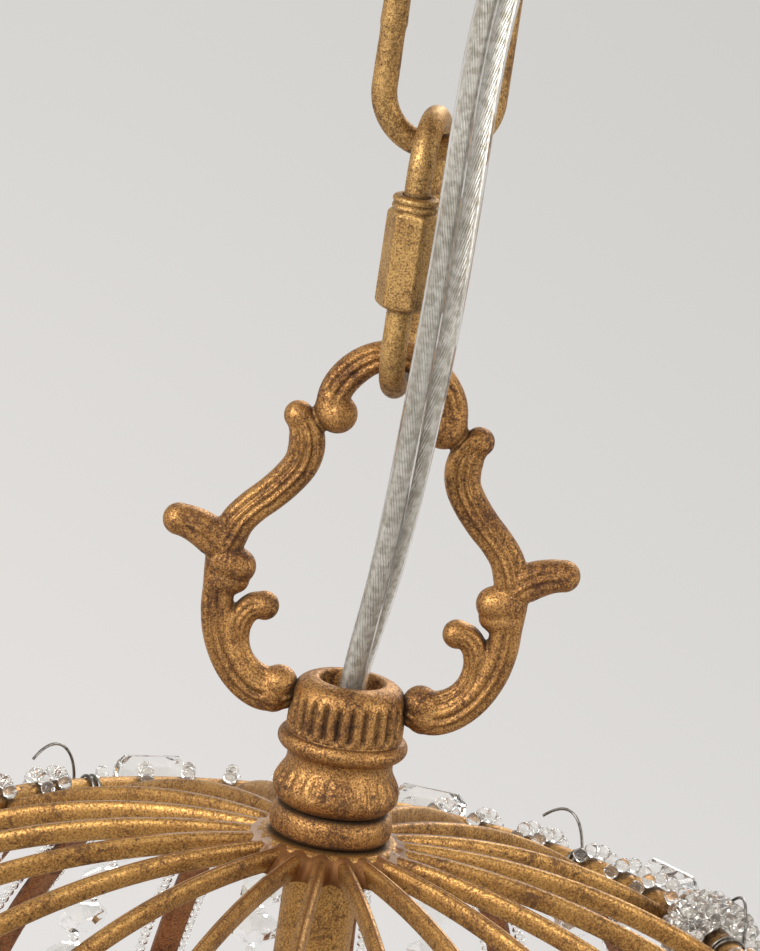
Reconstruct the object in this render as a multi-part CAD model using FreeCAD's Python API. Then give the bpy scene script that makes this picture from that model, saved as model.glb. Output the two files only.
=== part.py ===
"""Mini crystal chandelier: ceiling cup, chain, cast loop, ribbed crown, crystal basket and three lamps.

Millimetres, +Z up. The origin is the middle of the ceiling cup's top face, against the ceiling.
Heights named *_z are places on the Z axis; everything below the ceiling has a negative height.
"""

import FreeCAD
import Part
import math
import os

V = FreeCAD.Vector
UP = V(0, 0, 1)

# ---- driving dimensions ----------------------------------------------------------------------
seat_gap = 0.3          # clearance between links that hang in each other
fit_gap = 0.05          # radial clearance of a shaft in its hole

canopy_radius = 50.0
canopy_depth = 28.0
canopy_wall = 1.2
canopy_corner = 7.0
strap_length = 88.0
strap_width = 16.0
strap_thickness = 2.0
strap_slot_spacing = 60.0
strap_slot_length = 14.0
strap_slot_radius = 2.4
nipple_radius = 5.0     # the M10 threaded tubes of the ceiling cup and of the stem
nipple_bore = 3.6
locknut_flats = 14.0
locknut_height = 4.0
block_length = 24.0
block_width = 12.0
block_height = 9.0
block_ways = 3
block_way_radius = 1.8
grommet_lip = 1.8
grommet_lip_height = 1.6

eye_boss_radius = 9.0
eye_boss_height = 8.0
eye_radius = 7.1        # to the middle of the eye's bar
eye_wire = 4.8

link_length = 47.0
link_width = 23.0
link_wire = 4.5
quick_length = 50.9
quick_width = 22.0
quick_wire = 4.6
quick_turn = -8.0       # degrees about the vertical
quick_opening = 5.0
sleeve_length = 19.3
sleeve_flats = 8.0
sleeve_drop = 6.6       # where the sleeve sits above the lower end of the straight side
sleeve_collar = 2.5

loop_bar = 5.0          # thickness of the cast loop's top bar
loop_height = 60.0      # top of the loop above the collar's rim
rim_bore = 5.4
collar_height = 22.4
ring_height = 5.2
ring_radius = 10.6
ring_gap = 0.4

hub_radius = 12.5
hub_height = 5.2
rib_count = 20
rib_width = 2.4
rib_depth = 3.8
rib_turn = -93.0        # bearing of the first rib, degrees from +X
rib_drop = 16.0         # from the rib's inner end down to the crown ring
crown_radius = 76.0
crown_wire = 5.5

wrap_radius = 5.3       # outside of the bead strings wrapped on the crown ring
wrap_sweeps = (14.0, 20.0, 16.0, 22.0)
knot_count = 10
knot_radius = 8.0       # outside of the balls of beads wound on the crown ring
knot_sweep = 11.0
prism_length = 14.0
prism_height = 7.0
prism_thickness = 4.5

bar_width = 5.0
bar_depth = 2.4
band_radius = 130.0
band_wall = 2.0
band_height = 12.0
band_drop = 88.0        # from the crown ring's middle down to the band's top
bar_bulge = 9.0         # how far the flared bars bow outwards
octagon_radius = 8.0
octagon_thickness = 4.5
strand_width = 10.0
strand_depth = 5.0
basket_depth = 88.0     # from the band's bottom down to the finial cup's seat
basket_bulge = 22.0     # how far the basket's strands bow out and down

stem_radius = 6.5
stem_bore = 5.1
lamp_count = 3
lamp_turn = 90.0        # bearing of the first lamp
lamp_circle = 45.0
lamp_hub_radius = 14.0
lamp_hub_height = 16.0
lamp_hub_wall = 1.6
arm_radius = 3.0
arm_bend = 8.0
pan_radius = 16.0
pan_height = 3.0
candle_radius = 11.0
candle_wall = 0.8
candle_length = 54.0
candle_top_below_crown = 98.0
holder_radius = 9.6
holder_recess = 4.5     # how far the lampholder's mouth lies below the candle's top
cap_radius = 7.0
cap_length = 22.0
bulb_radius = 17.0
bulb_length = 74.0
bulb_neck = 8.8
bulb_tip = 2.0

cup_radius = 18.0
cup_height = 8.0
rod_radius = 3.0
finial_height = 8.0
small_eye_radius = 3.2
small_wire = 1.8
ball_radius = 15.0
cable_radius = 2.5
bush_height = 6.0

# ---- places that follow from them -------------------------------------------------------------
canopy_floor_z = -canopy_depth
eye_z = canopy_floor_z - eye_boss_height - eye_radius + 1.0
eye_bar_z = eye_z - eye_radius
link_top_z = eye_bar_z + eye_wire / 2 + seat_gap + link_wire
link_bottom_bar_z = link_top_z - link_length + link_wire / 2
quick_top_z = link_bottom_bar_z + link_wire / 2 + seat_gap + quick_wire
quick_bottom_bar_z = quick_top_z - quick_length + quick_wire / 2
loop_top_z = quick_bottom_bar_z + quick_wire / 2 + seat_gap + loop_bar
rim_z = loop_top_z - loop_height
lock_ring_z = rim_z - collar_height - ring_gap - ring_height / 2
hub_top_z = lock_ring_z - ring_height / 2
hub_bottom_z = hub_top_z - hub_height
rib_start_z = hub_top_z - rib_depth / 2 - 0.5
crown_z = rib_start_z - rib_drop
band_top_z = crown_z - band_drop
band_bottom_z = band_top_z - band_height
candle_top_z = crown_z - candle_top_below_crown
candle_bottom_z = candle_top_z - candle_length
pan_bottom_z = candle_bottom_z - pan_height
arm_z = pan_bottom_z - arm_bend - 3.0
lamp_hub_top_z = arm_z + lamp_hub_height / 2
lamp_hub_bottom_z = lamp_hub_top_z - lamp_hub_height
cup_seat_z = band_bottom_z - basket_depth
cup_bottom_z = cup_seat_z - cup_height
finial_bottom_z = cup_bottom_z - finial_height
small_eye_z = finial_bottom_z - small_eye_radius
small_pivot_z = small_eye_z - small_eye_radius
hook_z = small_pivot_z + small_wire + 0.2 - small_eye_radius
ball_z = hook_z - small_eye_radius - small_wire / 2 - ball_radius - 0.3
holder_top_z = candle_top_z - holder_recess

# The cable's route beside the chain, as places across, towards the front and above the collar's rim.
cable_heights = [
    (0.0, 0.0, -12.0), (0.0, 0.0, -3.0), (1.5, -1.1, 7.0), (3.7, -3.7, 20.0), (5.1, -6.0, 36.0),
    (6.1, -7.2, 53.0), (6.9, -7.8, 70.0), (7.3, -7.9, 86.0), (7.4, -8.1, 102.0), (8.3, -8.3, 118.0),
    (11.6, -8.7, 131.0), (15.0, -9.0, 143.0),
]
cable_route = [V(x, y, rim_z + h) for x, y, h in cable_heights]
cable_route.append(V(cable_route[-1].x, cable_route[-1].y, -strap_thickness - block_height))
cable_splits = (6, 9)   # the runs, counted from the collar, in whose middles the cable is divided


# ---- shapes -----------------------------------------------------------------------------------
def cylinder(radius, low, high, x=0.0, y=0.0):
    return Part.makeCylinder(radius, high - low, V(x, y, low))


def tube(outer, bore, low, high, x=0.0, y=0.0):
    return cylinder(outer, low, high, x, y).cut(cylinder(bore, low - 1, high + 1, x, y))


def hexagon(flats, low, high, x=0.0, y=0.0):
    corner = flats / math.sqrt(3)
    points = [V(x + corner * math.cos(math.radians(60 * i)), y + corner * math.sin(math.radians(60 * i)), low)
              for i in range(7)]
    return Part.Face(Part.makePolygon(points)).extrude(V(0, 0, high - low))


def turned(edges):
    """A closed outline in the XZ plane, on the +X side, turned about Z."""
    return Part.Face(Part.Wire(edges)).revolve(V(0, 0, 0), UP, 360)


def outline(points):
    """Straight edges through the points, as (radius, height) pairs, closed."""
    corners = [V(r, 0, z) for r, z in points] + [V(points[0][0], 0, points[0][1])]
    return Part.makePolygon(corners).Edges


def line(a, b):
    return Part.LineSegment(V(a[0], 0, a[1]), V(b[0], 0, b[1])).toShape()


def arc(a, middle, b):
    return Part.Arc(V(a[0], 0, a[1]), V(middle[0], 0, middle[1]), V(b[0], 0, b[1])).toShape()


def turned_about(shape, degrees, point=V(0, 0, 0), axis=UP):
    copy = shape.copy()
    copy.rotate(point, axis, degrees)
    return copy


def around(shape, count, start):
    """Copies of a piece that lies towards +X, evenly spaced about Z."""
    return [turned_about(shape, start + 360.0 * i / count) for i in range(count)]


def fused(shapes):
    whole = shapes[0].multiFuse(shapes[1:]) if len(shapes) > 1 else shapes[0]
    return whole.removeSplitter()


def oval_link(length, width, wire):
    """A link that stands in the XZ plane with its middle at the origin."""
    bend = (width - wire) / 2
    half = (length - width) / 2
    pieces = []
    for side in (1, -1):
        face = Part.Face(Part.Wire(Part.makeCircle(wire / 2, V(bend, 0, side * half), UP)))
        pieces.append(face.revolve(V(0, 0, side * half), V(0, -side, 0), 180))
        pieces.append(cylinder(wire / 2, -half, half, side * bend))
    return fused(pieces)


def eye_ring(radius, wire, z):
    """A round eye that stands in the YZ plane."""
    return Part.makeTorus(radius, wire / 2, V(0, 0, z), V(1, 0, 0))


def radial_bar(inner, middle, outer, depth, width):
    """A bar bent along the arc through three (radius, height) points, square in section."""
    mid = Part.Arc(*[V(r, 0, z) for r, z in (inner, middle, outer)]).toShape().Curve
    centre, radius = mid.Center, mid.Radius
    offsets = []
    for grow in (depth / 2, -depth / 2):
        ends = []
        for r, z in (inner, middle, outer):
            arm = V(r, 0, z) - centre
            ends.append(centre + arm * ((radius + grow) / radius))
        offsets.append(ends)
    upper, lower = offsets
    edges = [
        Part.Arc(*upper).toShape(),
        Part.LineSegment(upper[2], lower[2]).toShape(),
        Part.Arc(*lower).toShape(),
        Part.LineSegment(lower[0], upper[0]).toShape(),
    ]
    bar = Part.Face(Part.Wire(Part.sortEdges(edges)[0])).extrude(V(0, width, 0))
    bar.translate(V(0, -width / 2, 0))
    return bar


def limb(stations):
    """A cast limb in the XZ plane, lofted through round sections at (x, height, radius) stations."""
    sections = []
    for i, (x, z, r) in enumerate(stations):
        before, after = stations[max(i - 1, 0)], stations[min(i + 1, len(stations) - 1)]
        along = V(after[0] - before[0], 0, after[1] - before[1])
        sections.append(Part.Wire(Part.makeCircle(r, V(x, 0, z), along)))
    return Part.makeLoft(sections, True, False)


def sphere(x, z, r):
    return Part.makeSphere(r, V(x, 0, z), V(0, 1, 0))


def soft_tube(points, radius):
    """Straight runs joined by tangent arcs, each as large as its two runs allow."""
    edges = []
    start = points[0]
    for before, corner, after in zip(points, points[1:], points[2:]):
        back, on = before - corner, after - corner
        runs = min(back.Length, on.Length)
        back.normalize()
        on.normalize()
        half_turn = (math.pi - back.getAngle(on)) / 2
        bend = 0.45 * runs / math.tan(half_turn)
        print("cable arc radius %.0f" % bend)
        reach = 0.45 * runs
        inward = back + on
        inward.normalize()
        middle = corner + inward * (bend / math.cos(half_turn) - bend)
        first, last = corner + back * reach, corner + on * reach
        edges.append(Part.LineSegment(start, first).toShape())
        edges.append(Part.Arc(first, middle, last).toShape())
        start = last
    edges.append(Part.LineSegment(start, points[-1]).toShape())
    path = Part.Wire(edges)
    profile = Part.Wire(Part.makeCircle(radius, points[0], points[1] - points[0]))
    solid = path.makePipeShell([profile], True, True)
    print("cable volume %.2f of %.2f" % (solid.Volume, math.pi * radius**2 * path.Length))
    return solid


# ---- ceiling cup ------------------------------------------------------------------------------
def canopy_cup():
    def cup(radius, floor, top, corner):
        slant = corner * (1 - math.sqrt(0.5))
        return turned([
            line((0, top), (0, floor)),
            line((0, floor), (radius - corner, floor)),
            arc((radius - corner, floor), (radius - slant, floor + slant), (radius, floor + corner)),
            line((radius, floor + corner), (radius, top)),
            line((radius, top), (0, top)),
        ])
    shell = cup(canopy_radius, canopy_floor_z, 0, canopy_corner)
    inside = cup(canopy_radius - canopy_wall, canopy_floor_z + canopy_wall, 1, canopy_corner - canopy_wall)
    shell = shell.cut(inside)
    shell = shell.cut(cylinder(nipple_radius + fit_gap, canopy_floor_z - 1, canopy_floor_z + 3))
    entry = cable_route[-1]
    return shell.cut(cylinder(grommet_hole, canopy_floor_z - 1, canopy_floor_z + 3, entry.x, entry.y))


def mounting_strap():
    plate = Part.makeBox(strap_length, strap_width, strap_thickness,
                         V(-strap_length / 2, -strap_width / 2, -strap_thickness))
    cuts = [cylinder(nipple_radius + fit_gap, -strap_thickness - 1, 1)]
    straight = strap_slot_length / 2 - strap_slot_radius
    for side in (-1, 1):
        middle = side * strap_slot_spacing / 2
        cuts.append(Part.makeBox(2 * straight, 2 * strap_slot_radius, strap_thickness + 2,
                                 V(middle - straight, -strap_slot_radius, -strap_thickness - 1)))
        for end in (-straight, straight):
            cuts.append(cylinder(strap_slot_radius, -strap_thickness - 1, 1, middle + end))
    return plate.cut(cuts)


def terminal_block():
    entry = cable_route[-1]
    low = -strap_thickness - block_height
    block = Part.makeBox(block_length, block_width, block_height,
                         V(entry.x - 5.0, entry.y - 4.5, low))
    pitch = block_length / block_ways
    ways = [Part.makeCylinder(block_way_radius, block_width + 2,
                              V(entry.x - 5.0 + pitch * (i + 0.5), entry.y - 5.5, low + block_height / 2),
                              V(0, 1, 0)) for i in range(block_ways)]
    return block.cut(ways)


grommet_bore = cable_radius + fit_gap
grommet_hole = grommet_bore + 1.4


def cable_grommet():
    entry = cable_route[-1]
    top = canopy_floor_z + canopy_wall + grommet_lip_height
    low = canopy_floor_z - grommet_lip_height
    waist = grommet_hole - fit_gap
    lip = grommet_hole + grommet_lip
    body = turned(outline([
        (grommet_bore, low), (lip, low), (lip, canopy_floor_z - fit_gap),
        (waist, canopy_floor_z - fit_gap), (waist, canopy_floor_z + canopy_wall + fit_gap),
        (lip, canopy_floor_z + canopy_wall + fit_gap), (lip, top), (grommet_bore, top),
    ]))
    body.translate(V(entry.x, entry.y, 0))
    return body


def canopy_eye():
    boss_bottom = canopy_floor_z - eye_boss_height
    boss = turned([
        line((0, canopy_floor_z), (eye_boss_radius, canopy_floor_z)),
        line((eye_boss_radius, canopy_floor_z), (eye_boss_radius, canopy_floor_z - 3)),
        arc((eye_boss_radius, canopy_floor_z - 3), (eye_boss_radius - 1.6, boss_bottom + 1.6),
            (eye_wire / 2, boss_bottom)),
        line((eye_wire / 2, boss_bottom), (0, boss_bottom)),
        line((0, boss_bottom), (0, canopy_floor_z)),
    ])
    socket = cylinder(nipple_radius + fit_gap, boss_bottom + 2.5, canopy_floor_z + 1)
    return fused([boss.cut(socket), eye_ring(eye_radius, eye_wire, eye_z).cut(socket)])


# ---- chain and quick link ---------------------------------------------------------------------
def chain_link():
    link = oval_link(link_length, link_width, link_wire)
    link.translate(V(0, 0, link_top_z - link_length / 2))
    return link


quick_middle_z = quick_top_z - quick_length / 2
sleeve_side = -(quick_width - quick_wire) / 2
straight_low_z = quick_middle_z - (quick_length - quick_width) / 2
sleeve_low_z = straight_low_z + sleeve_drop
opening_top_z = sleeve_low_z + sleeve_length - 1.6


def quick_link_body():
    link = turned_about(oval_link(quick_length, quick_width, quick_wire), 90)
    link.translate(V(0, 0, quick_middle_z))
    gap = Part.makeBox(2 * quick_wire, 2 * quick_wire, quick_opening,
                       V(-quick_wire, sleeve_side - quick_wire, opening_top_z - quick_opening))
    return turned_about(link.cut(gap), quick_turn)


def lock_sleeve():
    collar_low = sleeve_low_z + sleeve_length - sleeve_collar
    corner = sleeve_flats / math.sqrt(3)
    top = sleeve_low_z + sleeve_length
    body = hexagon(sleeve_flats, sleeve_low_z, collar_low, 0, sleeve_side)
    body = body.common(Part.makeCone(corner - 0.7, corner + 2.0, collar_low - sleeve_low_z,
                                     V(0, sleeve_side, sleeve_low_z)))
    collar = cylinder(sleeve_flats / 2, collar_low, top, 0, sleeve_side)
    groove = tube(sleeve_flats, sleeve_flats / 2 - 0.35, collar_low + 0.9, collar_low + 1.5, 0, sleeve_side)
    bore = cylinder(quick_wire / 2 + fit_gap, sleeve_low_z - 1, top + 1, 0, sleeve_side)
    return turned_about(fused([body, collar.cut(groove)]).cut(bore), quick_turn)


# ---- cast loop, collar and stem ---------------------------------------------------------------
def loop_stations():
    """The limbs of the loop's right-hand side, as (x, height above the rim, radius) stations."""
    half = loop_bar / 2
    top = loop_height - half
    return [
        # the top bar, ending in the knob that curls inwards
        [(0.0, top, half), (4.6, top - 0.9, half), (8.4, top - 3.8, half), (10.6, top - 8.0, 2.7),
         (10.4, 46.4, 2.9), (9.2, 44.8, 3.2)],
        # the S-scroll from its outer knob down to the leaf
        [(15.6, 44.6, 2.2), (13.2, 43.0, 2.3), (12.2, 39.2, 2.4), (13.6, 34.8, 2.5), (17.6, 29.8, 2.6),
         (22.4, 24.2, 2.6), (24.6, 19.8, 2.7)],
        # the leaf that points outwards
        [(23.4, 19.4, 2.8), (27.2, 21.6, 2.8), (31.2, 22.9, 2.3), (35.0, 23.0, 2.1)],
        # the C-scroll from the leaf down to the collar
        [(24.8, 20.6, 2.8), (24.9, 15.6, 3.2), (24.6, 9.6, 3.4), (22.4, 3.4, 3.4), (18.2, -1.6, 3.4),
         (13.6, -3.8, 3.2), (9.6, -3.6, 3.0)],
        # the curl inside the C-scroll
        [(24.2, 14.0, 2.2), (21.0, 11.2, 2.0), (18.2, 9.2, 1.8), (15.8, 9.8, 1.7)],
        # the bud above that curl
        [(22.8, 17.2, 2.4), (20.4, 17.2, 2.2), (18.9, 17.0, 1.9)],
    ]


loop_knobs = [(9.2, 44.8, 3.3), (15.6, 44.6, 2.35), (35.3, 23.0, 2.4), (15.6, 10.2, 1.9), (19.0, 17.0, 2.1),
              (11.6, -3.4, 3.4)]


def collar_outline():
    """The turned collar as arcs, in (radius, height above the rim)."""
    edges = [
        line((rim_bore, 0.0), (6.3, 0.0)),
        arc((6.3, 0.0), (8.9, -1.1), (10.0, -3.6)),
        line((10.0, -3.6), (10.1, -9.4)),
        arc((10.1, -9.4), (11.1, -11.1), (10.0, -12.8)),
        arc((10.0, -12.8), (9.1, -14.6), (9.9, -16.4)),
        arc((9.9, -16.4), (11.0, -19.6), (9.4, -collar_height)),
        line((9.4, -collar_height), (nipple_radius + fit_gap, -collar_height)),
        line((nipple_radius + fit_gap, -collar_height), (nipple_radius + fit_gap, -12.0)),
        line((nipple_radius + fit_gap, -12.0), (rim_bore, -11.0)),
        line((rim_bore, -11.0), (rim_bore, 0.0)),
    ]
    return edges


def cast_loop():
    bore = cylinder(rim_bore, -12, 1)
    pieces = []
    for stations in loop_stations():
        pieces.append(limb(stations))
    pieces += [sphere(*knob) for knob in loop_knobs]
    side = fused(pieces)
    side = side.cut(cylinder(rim_bore + 2.0, -12, 1))
    other = side.mirror(V(0, 0, 0), V(1, 0, 0))
    casting = fused([turned(collar_outline()), side, other])
    casting.translate(V(0, 0, rim_z))
    return casting


def collar_ring():
    half = ring_height / 2
    body = turned([
        line((nipple_radius + fit_gap, half), (ring_radius - 1.9, half)),
        arc((ring_radius - 1.9, half), (ring_radius, 0), (ring_radius - 1.9, -half)),
        line((ring_radius - 1.9, -half), (nipple_radius + fit_gap, -half)),
        line((nipple_radius + fit_gap, -half), (nipple_radius + fit_gap, half)),
    ])
    body.translate(V(0, 0, lock_ring_z))
    return body


bush_top_z = rim_z - 11.5
nipple_top_z = bush_top_z - 1.2


def cable_bush():
    flange = nipple_radius - 0.4
    return turned(outline([
        (grommet_bore, bush_top_z), (flange, bush_top_z), (flange, nipple_top_z),
        (nipple_bore - fit_gap, nipple_top_z), (nipple_bore - fit_gap, bush_top_z - bush_height),
        (grommet_bore, bush_top_z - bush_height),
    ]))


def hub_disc():
    edge = 1.2
    disc = turned(outline([
        (nipple_radius + fit_gap, hub_top_z), (hub_radius - edge, hub_top_z), (hub_radius, hub_top_z - edge),
        (hub_radius, hub_bottom_z), (nipple_radius + fit_gap, hub_bottom_z),
    ]))
    return disc


stem_overlap = 20.0     # how far the threaded tube reaches into the stem


# ---- crown ------------------------------------------------------------------------------------
crown_inside = crown_radius - crown_wire / 2


def rib_height(radius):
    """Height of a rib's middle line: a shallow arc that gets steeper towards the crown ring."""
    share = (radius - hub_radius) / (crown_radius - hub_radius)
    return rib_start_z - rib_drop * share**1.75


def dome_rib():
    start, end = hub_radius + 0.2, crown_inside - 0.35
    middle = (start + end) / 2
    return radial_bar((start, rib_height(start)), (middle, rib_height(middle)), (end, rib_height(end)),
                      rib_depth, rib_width)


def saddle(outer, sweep, start):
    """What lies over the crown ring's top and outside, clear of the ribs and of the bars below."""
    bore = crown_wire / 2 + seat_gap / 2

    def place(radius, degrees):
        a = math.radians(degrees)
        return (crown_radius + radius * math.cos(a), crown_z + radius * math.sin(a))

    low, high = -8.0, 130.0
    middle = (low + high) / 2
    section = Part.Face(Part.Wire([
        arc(place(outer, low), place(outer, middle), place(outer, high)),
        line(place(outer, high), place(bore, high)),
        arc(place(bore, high), place(bore, middle), place(bore, low)),
        line(place(bore, low), place(outer, low)),
    ]))
    return turned_about(section.revolve(V(0, 0, 0), UP, sweep), start)


knot_step = 360.0 / knot_count
half_step = 180.0 / rib_count


def bead_knots():
    """Balls of beads wound on the crown ring between two ribs."""
    return [saddle(knot_radius, knot_sweep, rib_turn + knot_step * i + half_step - knot_sweep / 2)
            for i in range(knot_count)]


def bead_wraps():
    """Bead strings wound on the crown ring, from each knot on to near the next one."""
    wraps = []
    for i in range(knot_count):
        start = rib_turn + knot_step * i + half_step + knot_sweep / 2 + 1.0
        wraps.append(saddle(wrap_radius, wrap_sweeps[i % len(wrap_sweeps)], start))
    return wraps


prism_seat = crown_radius + wrap_radius + seat_gap / 2


def prism():
    """A faceted prism that lies along the outside of the crown ring."""
    top = crown_z + prism_height * 0.6
    low = top - prism_height
    side = prism_length / 2
    cut = prism_height * 0.25
    points = [(-side + cut, top), (side - cut, top), (side, top - cut), (side, low + cut),
              (side - cut, low), (-side + cut, low), (-side, low + cut), (-side, top - cut)]
    corners = [V(prism_seat, y, z) for y, z in points + points[:1]]
    return Part.Face(Part.makePolygon(corners)).extrude(V(prism_thickness, 0, 0))


tie_turn = 2.2          # bearing of a tie wire from the rib beside it, degrees


def tie_wire():
    """A steel wire twisted round the crown ring: a ring of wire with its tail standing up."""
    bend = crown_wire / 2 + 0.5
    loop = Part.makeTorus(bend, 0.3, V(crown_radius, 0, crown_z), V(0, 1, 0))
    tail = Part.makeCylinder(0.3, 7.0, V(crown_radius, 0, crown_z + bend), V(-0.4, 0, 1))
    return fused([loop, tail])


# ---- basket -----------------------------------------------------------------------------------
bar_start_z = crown_z - crown_wire / 2 - bar_depth / 2 + 0.1
bar_start_radius = crown_radius
bar_end_radius = band_radius - band_wall - bar_depth / 2 - 0.15
bar_end_z = band_bottom_z + 1.0


def bowed(start, end, bulge, depth, width):
    """A bar between two (radius, height) points that bows away from the middle of the fixture."""
    run, fall = end[0] - start[0], end[1] - start[1]
    length = math.hypot(run, fall)
    middle = ((start[0] + end[0]) / 2 - bulge * fall / length, (start[1] + end[1]) / 2 + bulge * run / length)
    return radial_bar(start, middle, end, depth, width)


def flared_bar():
    return bowed((bar_start_radius, bar_start_z), (bar_end_radius, bar_end_z), bar_bulge, bar_depth, bar_width)


def body_band():
    return tube(band_radius, band_radius - band_wall, band_bottom_z, band_top_z)


def octagon():
    """A cut octagon that lies flat against the band's outside."""
    z = (band_top_z + band_bottom_z) / 2
    start = math.radians(22.5)
    corners = [V(band_radius + 0.3, octagon_radius * math.cos(start + math.pi / 4 * i),
                 z + octagon_radius * math.sin(start + math.pi / 4 * i)) for i in range(9)]
    return Part.Face(Part.makePolygon(corners)).extrude(V(octagon_thickness, 0, 0))


strand_top_radius = crown_radius + 1.6
strand_top_z = bar_start_z + 0.2
strand_end_radius = band_radius - band_wall - strand_depth / 2 - 0.4


def upper_strand():
    return bowed((strand_top_radius, strand_top_z), (strand_end_radius, band_top_z + 2.0), bar_bulge,
                 strand_depth, strand_width)


def lower_strand():
    """A strand that hangs in a bowl-shaped curve from the band in to the finial cup."""
    start = (band_radius - strand_depth / 2, band_bottom_z - 0.3)
    end = (cup_radius + 2.0, cup_seat_z - 1.0)
    return bowed(start, end, basket_bulge, strand_depth, strand_width * 0.5)


# ---- lamps ------------------------------------------------------------------------------------
def lamp_hub():
    body = cylinder(lamp_hub_radius, lamp_hub_bottom_z, lamp_hub_top_z)
    body = body.cut(cylinder(lamp_hub_radius - lamp_hub_wall, lamp_hub_bottom_z + lamp_hub_wall,
                             lamp_hub_top_z + 1))
    ports = [Part.makeCylinder(arm_radius - 0.8, lamp_hub_radius + 2, V(0, 0, arm_z),
                               V(math.cos(a), math.sin(a), 0)) for a in lamp_bearings]
    return body.cut(ports).cut(cylinder(rod_radius + fit_gap, lamp_hub_bottom_z - 1, lamp_hub_bottom_z + 3))


lamp_bearings = [math.radians(lamp_turn + 360.0 * i / lamp_count) for i in range(lamp_count)]
lid_height = 2.4


def lamp_arm():
    """A bent tube from the lamp hub's side out to the drip pan."""
    start = V(lamp_hub_radius + 0.1, 0, arm_z)
    bend_start = V(lamp_circle - arm_bend, 0, arm_z)
    turn = arm_bend * (1 - math.sqrt(0.5))
    bend_middle = V(lamp_circle - turn, 0, arm_z + turn)
    bend_end = V(lamp_circle, 0, arm_z + arm_bend)
    end = V(lamp_circle, 0, pan_bottom_z)
    path = Part.Wire([
        Part.LineSegment(start, bend_start).toShape(),
        Part.Arc(bend_start, bend_middle, bend_end).toShape(),
        Part.LineSegment(bend_end, end).toShape(),
    ])
    outer = path.makePipeShell([Part.Wire(Part.makeCircle(arm_radius, start, V(1, 0, 0)))], True, True)
    inner = path.makePipeShell([Part.Wire(Part.makeCircle(arm_radius - 0.8, start, V(1, 0, 0)))], True, True)
    return outer.cut(inner)


def drip_pan():
    wall = 1.0
    pan = turned([
        line((arm_radius - 0.8, pan_bottom_z), (candle_radius, pan_bottom_z)),
        arc((candle_radius, pan_bottom_z), (pan_radius - 1.6, pan_bottom_z + 1.4),
            (pan_radius, candle_bottom_z + 1.5)),
        line((pan_radius, candle_bottom_z + 1.5), (pan_radius - wall, candle_bottom_z + 1.5)),
        arc((pan_radius - wall, candle_bottom_z + 1.5), (pan_radius - 2.4, candle_bottom_z + 0.3),
            (candle_radius + 1.0, candle_bottom_z)),
        line((candle_radius + 1.0, candle_bottom_z), (arm_radius - 0.8, candle_bottom_z)),
        line((arm_radius - 0.8, candle_bottom_z), (arm_radius - 0.8, pan_bottom_z)),
    ])
    pan.translate(V(lamp_circle, 0, 0))
    return pan


def lampholder():
    body = cylinder(holder_radius, candle_bottom_z, holder_top_z, lamp_circle)
    mouth = cylinder(cap_radius + fit_gap, holder_top_z - cap_length - 1.0, holder_top_z + 1, lamp_circle)
    wireway = cylinder(arm_radius - 0.8, candle_bottom_z - 1, candle_bottom_z + 6, lamp_circle)
    return body.cut([mouth, wireway])


glass_seat_z = holder_top_z + 0.4


def bulb_cap():
    low = glass_seat_z - cap_length
    cap = turned(outline([
        (0, glass_seat_z), (cap_radius, glass_seat_z), (cap_radius, low + 4), (cap_radius - 2.5, low + 1),
        (2.2, low), (0, low),
    ]))
    cap.translate(V(lamp_circle, 0, 0))
    return cap


def bulb_glass():
    tip = glass_seat_z + bulb_length
    belly = glass_seat_z + bulb_length * 0.38
    shoulder = candle_top_z + 0.5
    glass = turned([
        line((0, glass_seat_z), (bulb_neck, glass_seat_z)),
        line((bulb_neck, glass_seat_z), (bulb_neck, shoulder)),
        arc((bulb_neck, shoulder), (bulb_neck + 4.4, shoulder + 6.5), (bulb_radius, belly)),
        arc((bulb_radius, belly), (bulb_radius * 0.66, belly + bulb_length * 0.4), (bulb_tip, tip)),
        line((bulb_tip, tip), (0, tip)),
        line((0, tip), (0, glass_seat_z)),
    ])
    glass.translate(V(lamp_circle, 0, 0))
    return glass


# ---- finial and ball --------------------------------------------------------------------------
def finial_cup():
    return turned([
        line((rod_radius + fit_gap, cup_seat_z), (cup_radius - 2, cup_seat_z)),
        arc((cup_radius - 2, cup_seat_z), (cup_radius - 0.6, cup_seat_z - 0.6), (cup_radius, cup_seat_z - 2)),
        arc((cup_radius, cup_seat_z - 2), (cup_radius * 0.7, cup_bottom_z + 1.6), (7.0, cup_bottom_z)),
        line((7.0, cup_bottom_z), (rod_radius + fit_gap, cup_bottom_z)),
        line((rod_radius + fit_gap, cup_bottom_z), (rod_radius + fit_gap, cup_seat_z)),
    ])


def finial_nut():
    knob = turned([
        line((0, cup_bottom_z), (6.0, cup_bottom_z)),
        arc((6.0, cup_bottom_z), (6.2, cup_bottom_z - 4.0), (small_wire / 2, finial_bottom_z)),
        line((small_wire / 2, finial_bottom_z), (0, finial_bottom_z)),
        line((0, finial_bottom_z), (0, cup_bottom_z)),
    ])
    socket = cylinder(rod_radius + fit_gap, cup_bottom_z - 4.5, cup_bottom_z + 1)
    eye = eye_ring(small_eye_radius, small_wire, small_eye_z)
    return fused([knob.cut(socket), eye])


ball_bore_depth = 7.0


def ball_hook():
    ring = Part.makeTorus(small_eye_radius, small_wire / 2, V(0, 0, hook_z), V(0, 1, 0))
    shank = cylinder(small_wire / 2, ball_z + ball_radius - ball_bore_depth, hook_z - small_eye_radius)
    return fused([ring, shank])


def crystal_ball():
    bore = cylinder(small_wire / 2 + fit_gap, ball_z + ball_radius - ball_bore_depth, ball_z + ball_radius + 1)
    return Part.makeSphere(ball_radius, V(0, 0, ball_z)).cut(bore)


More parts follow.
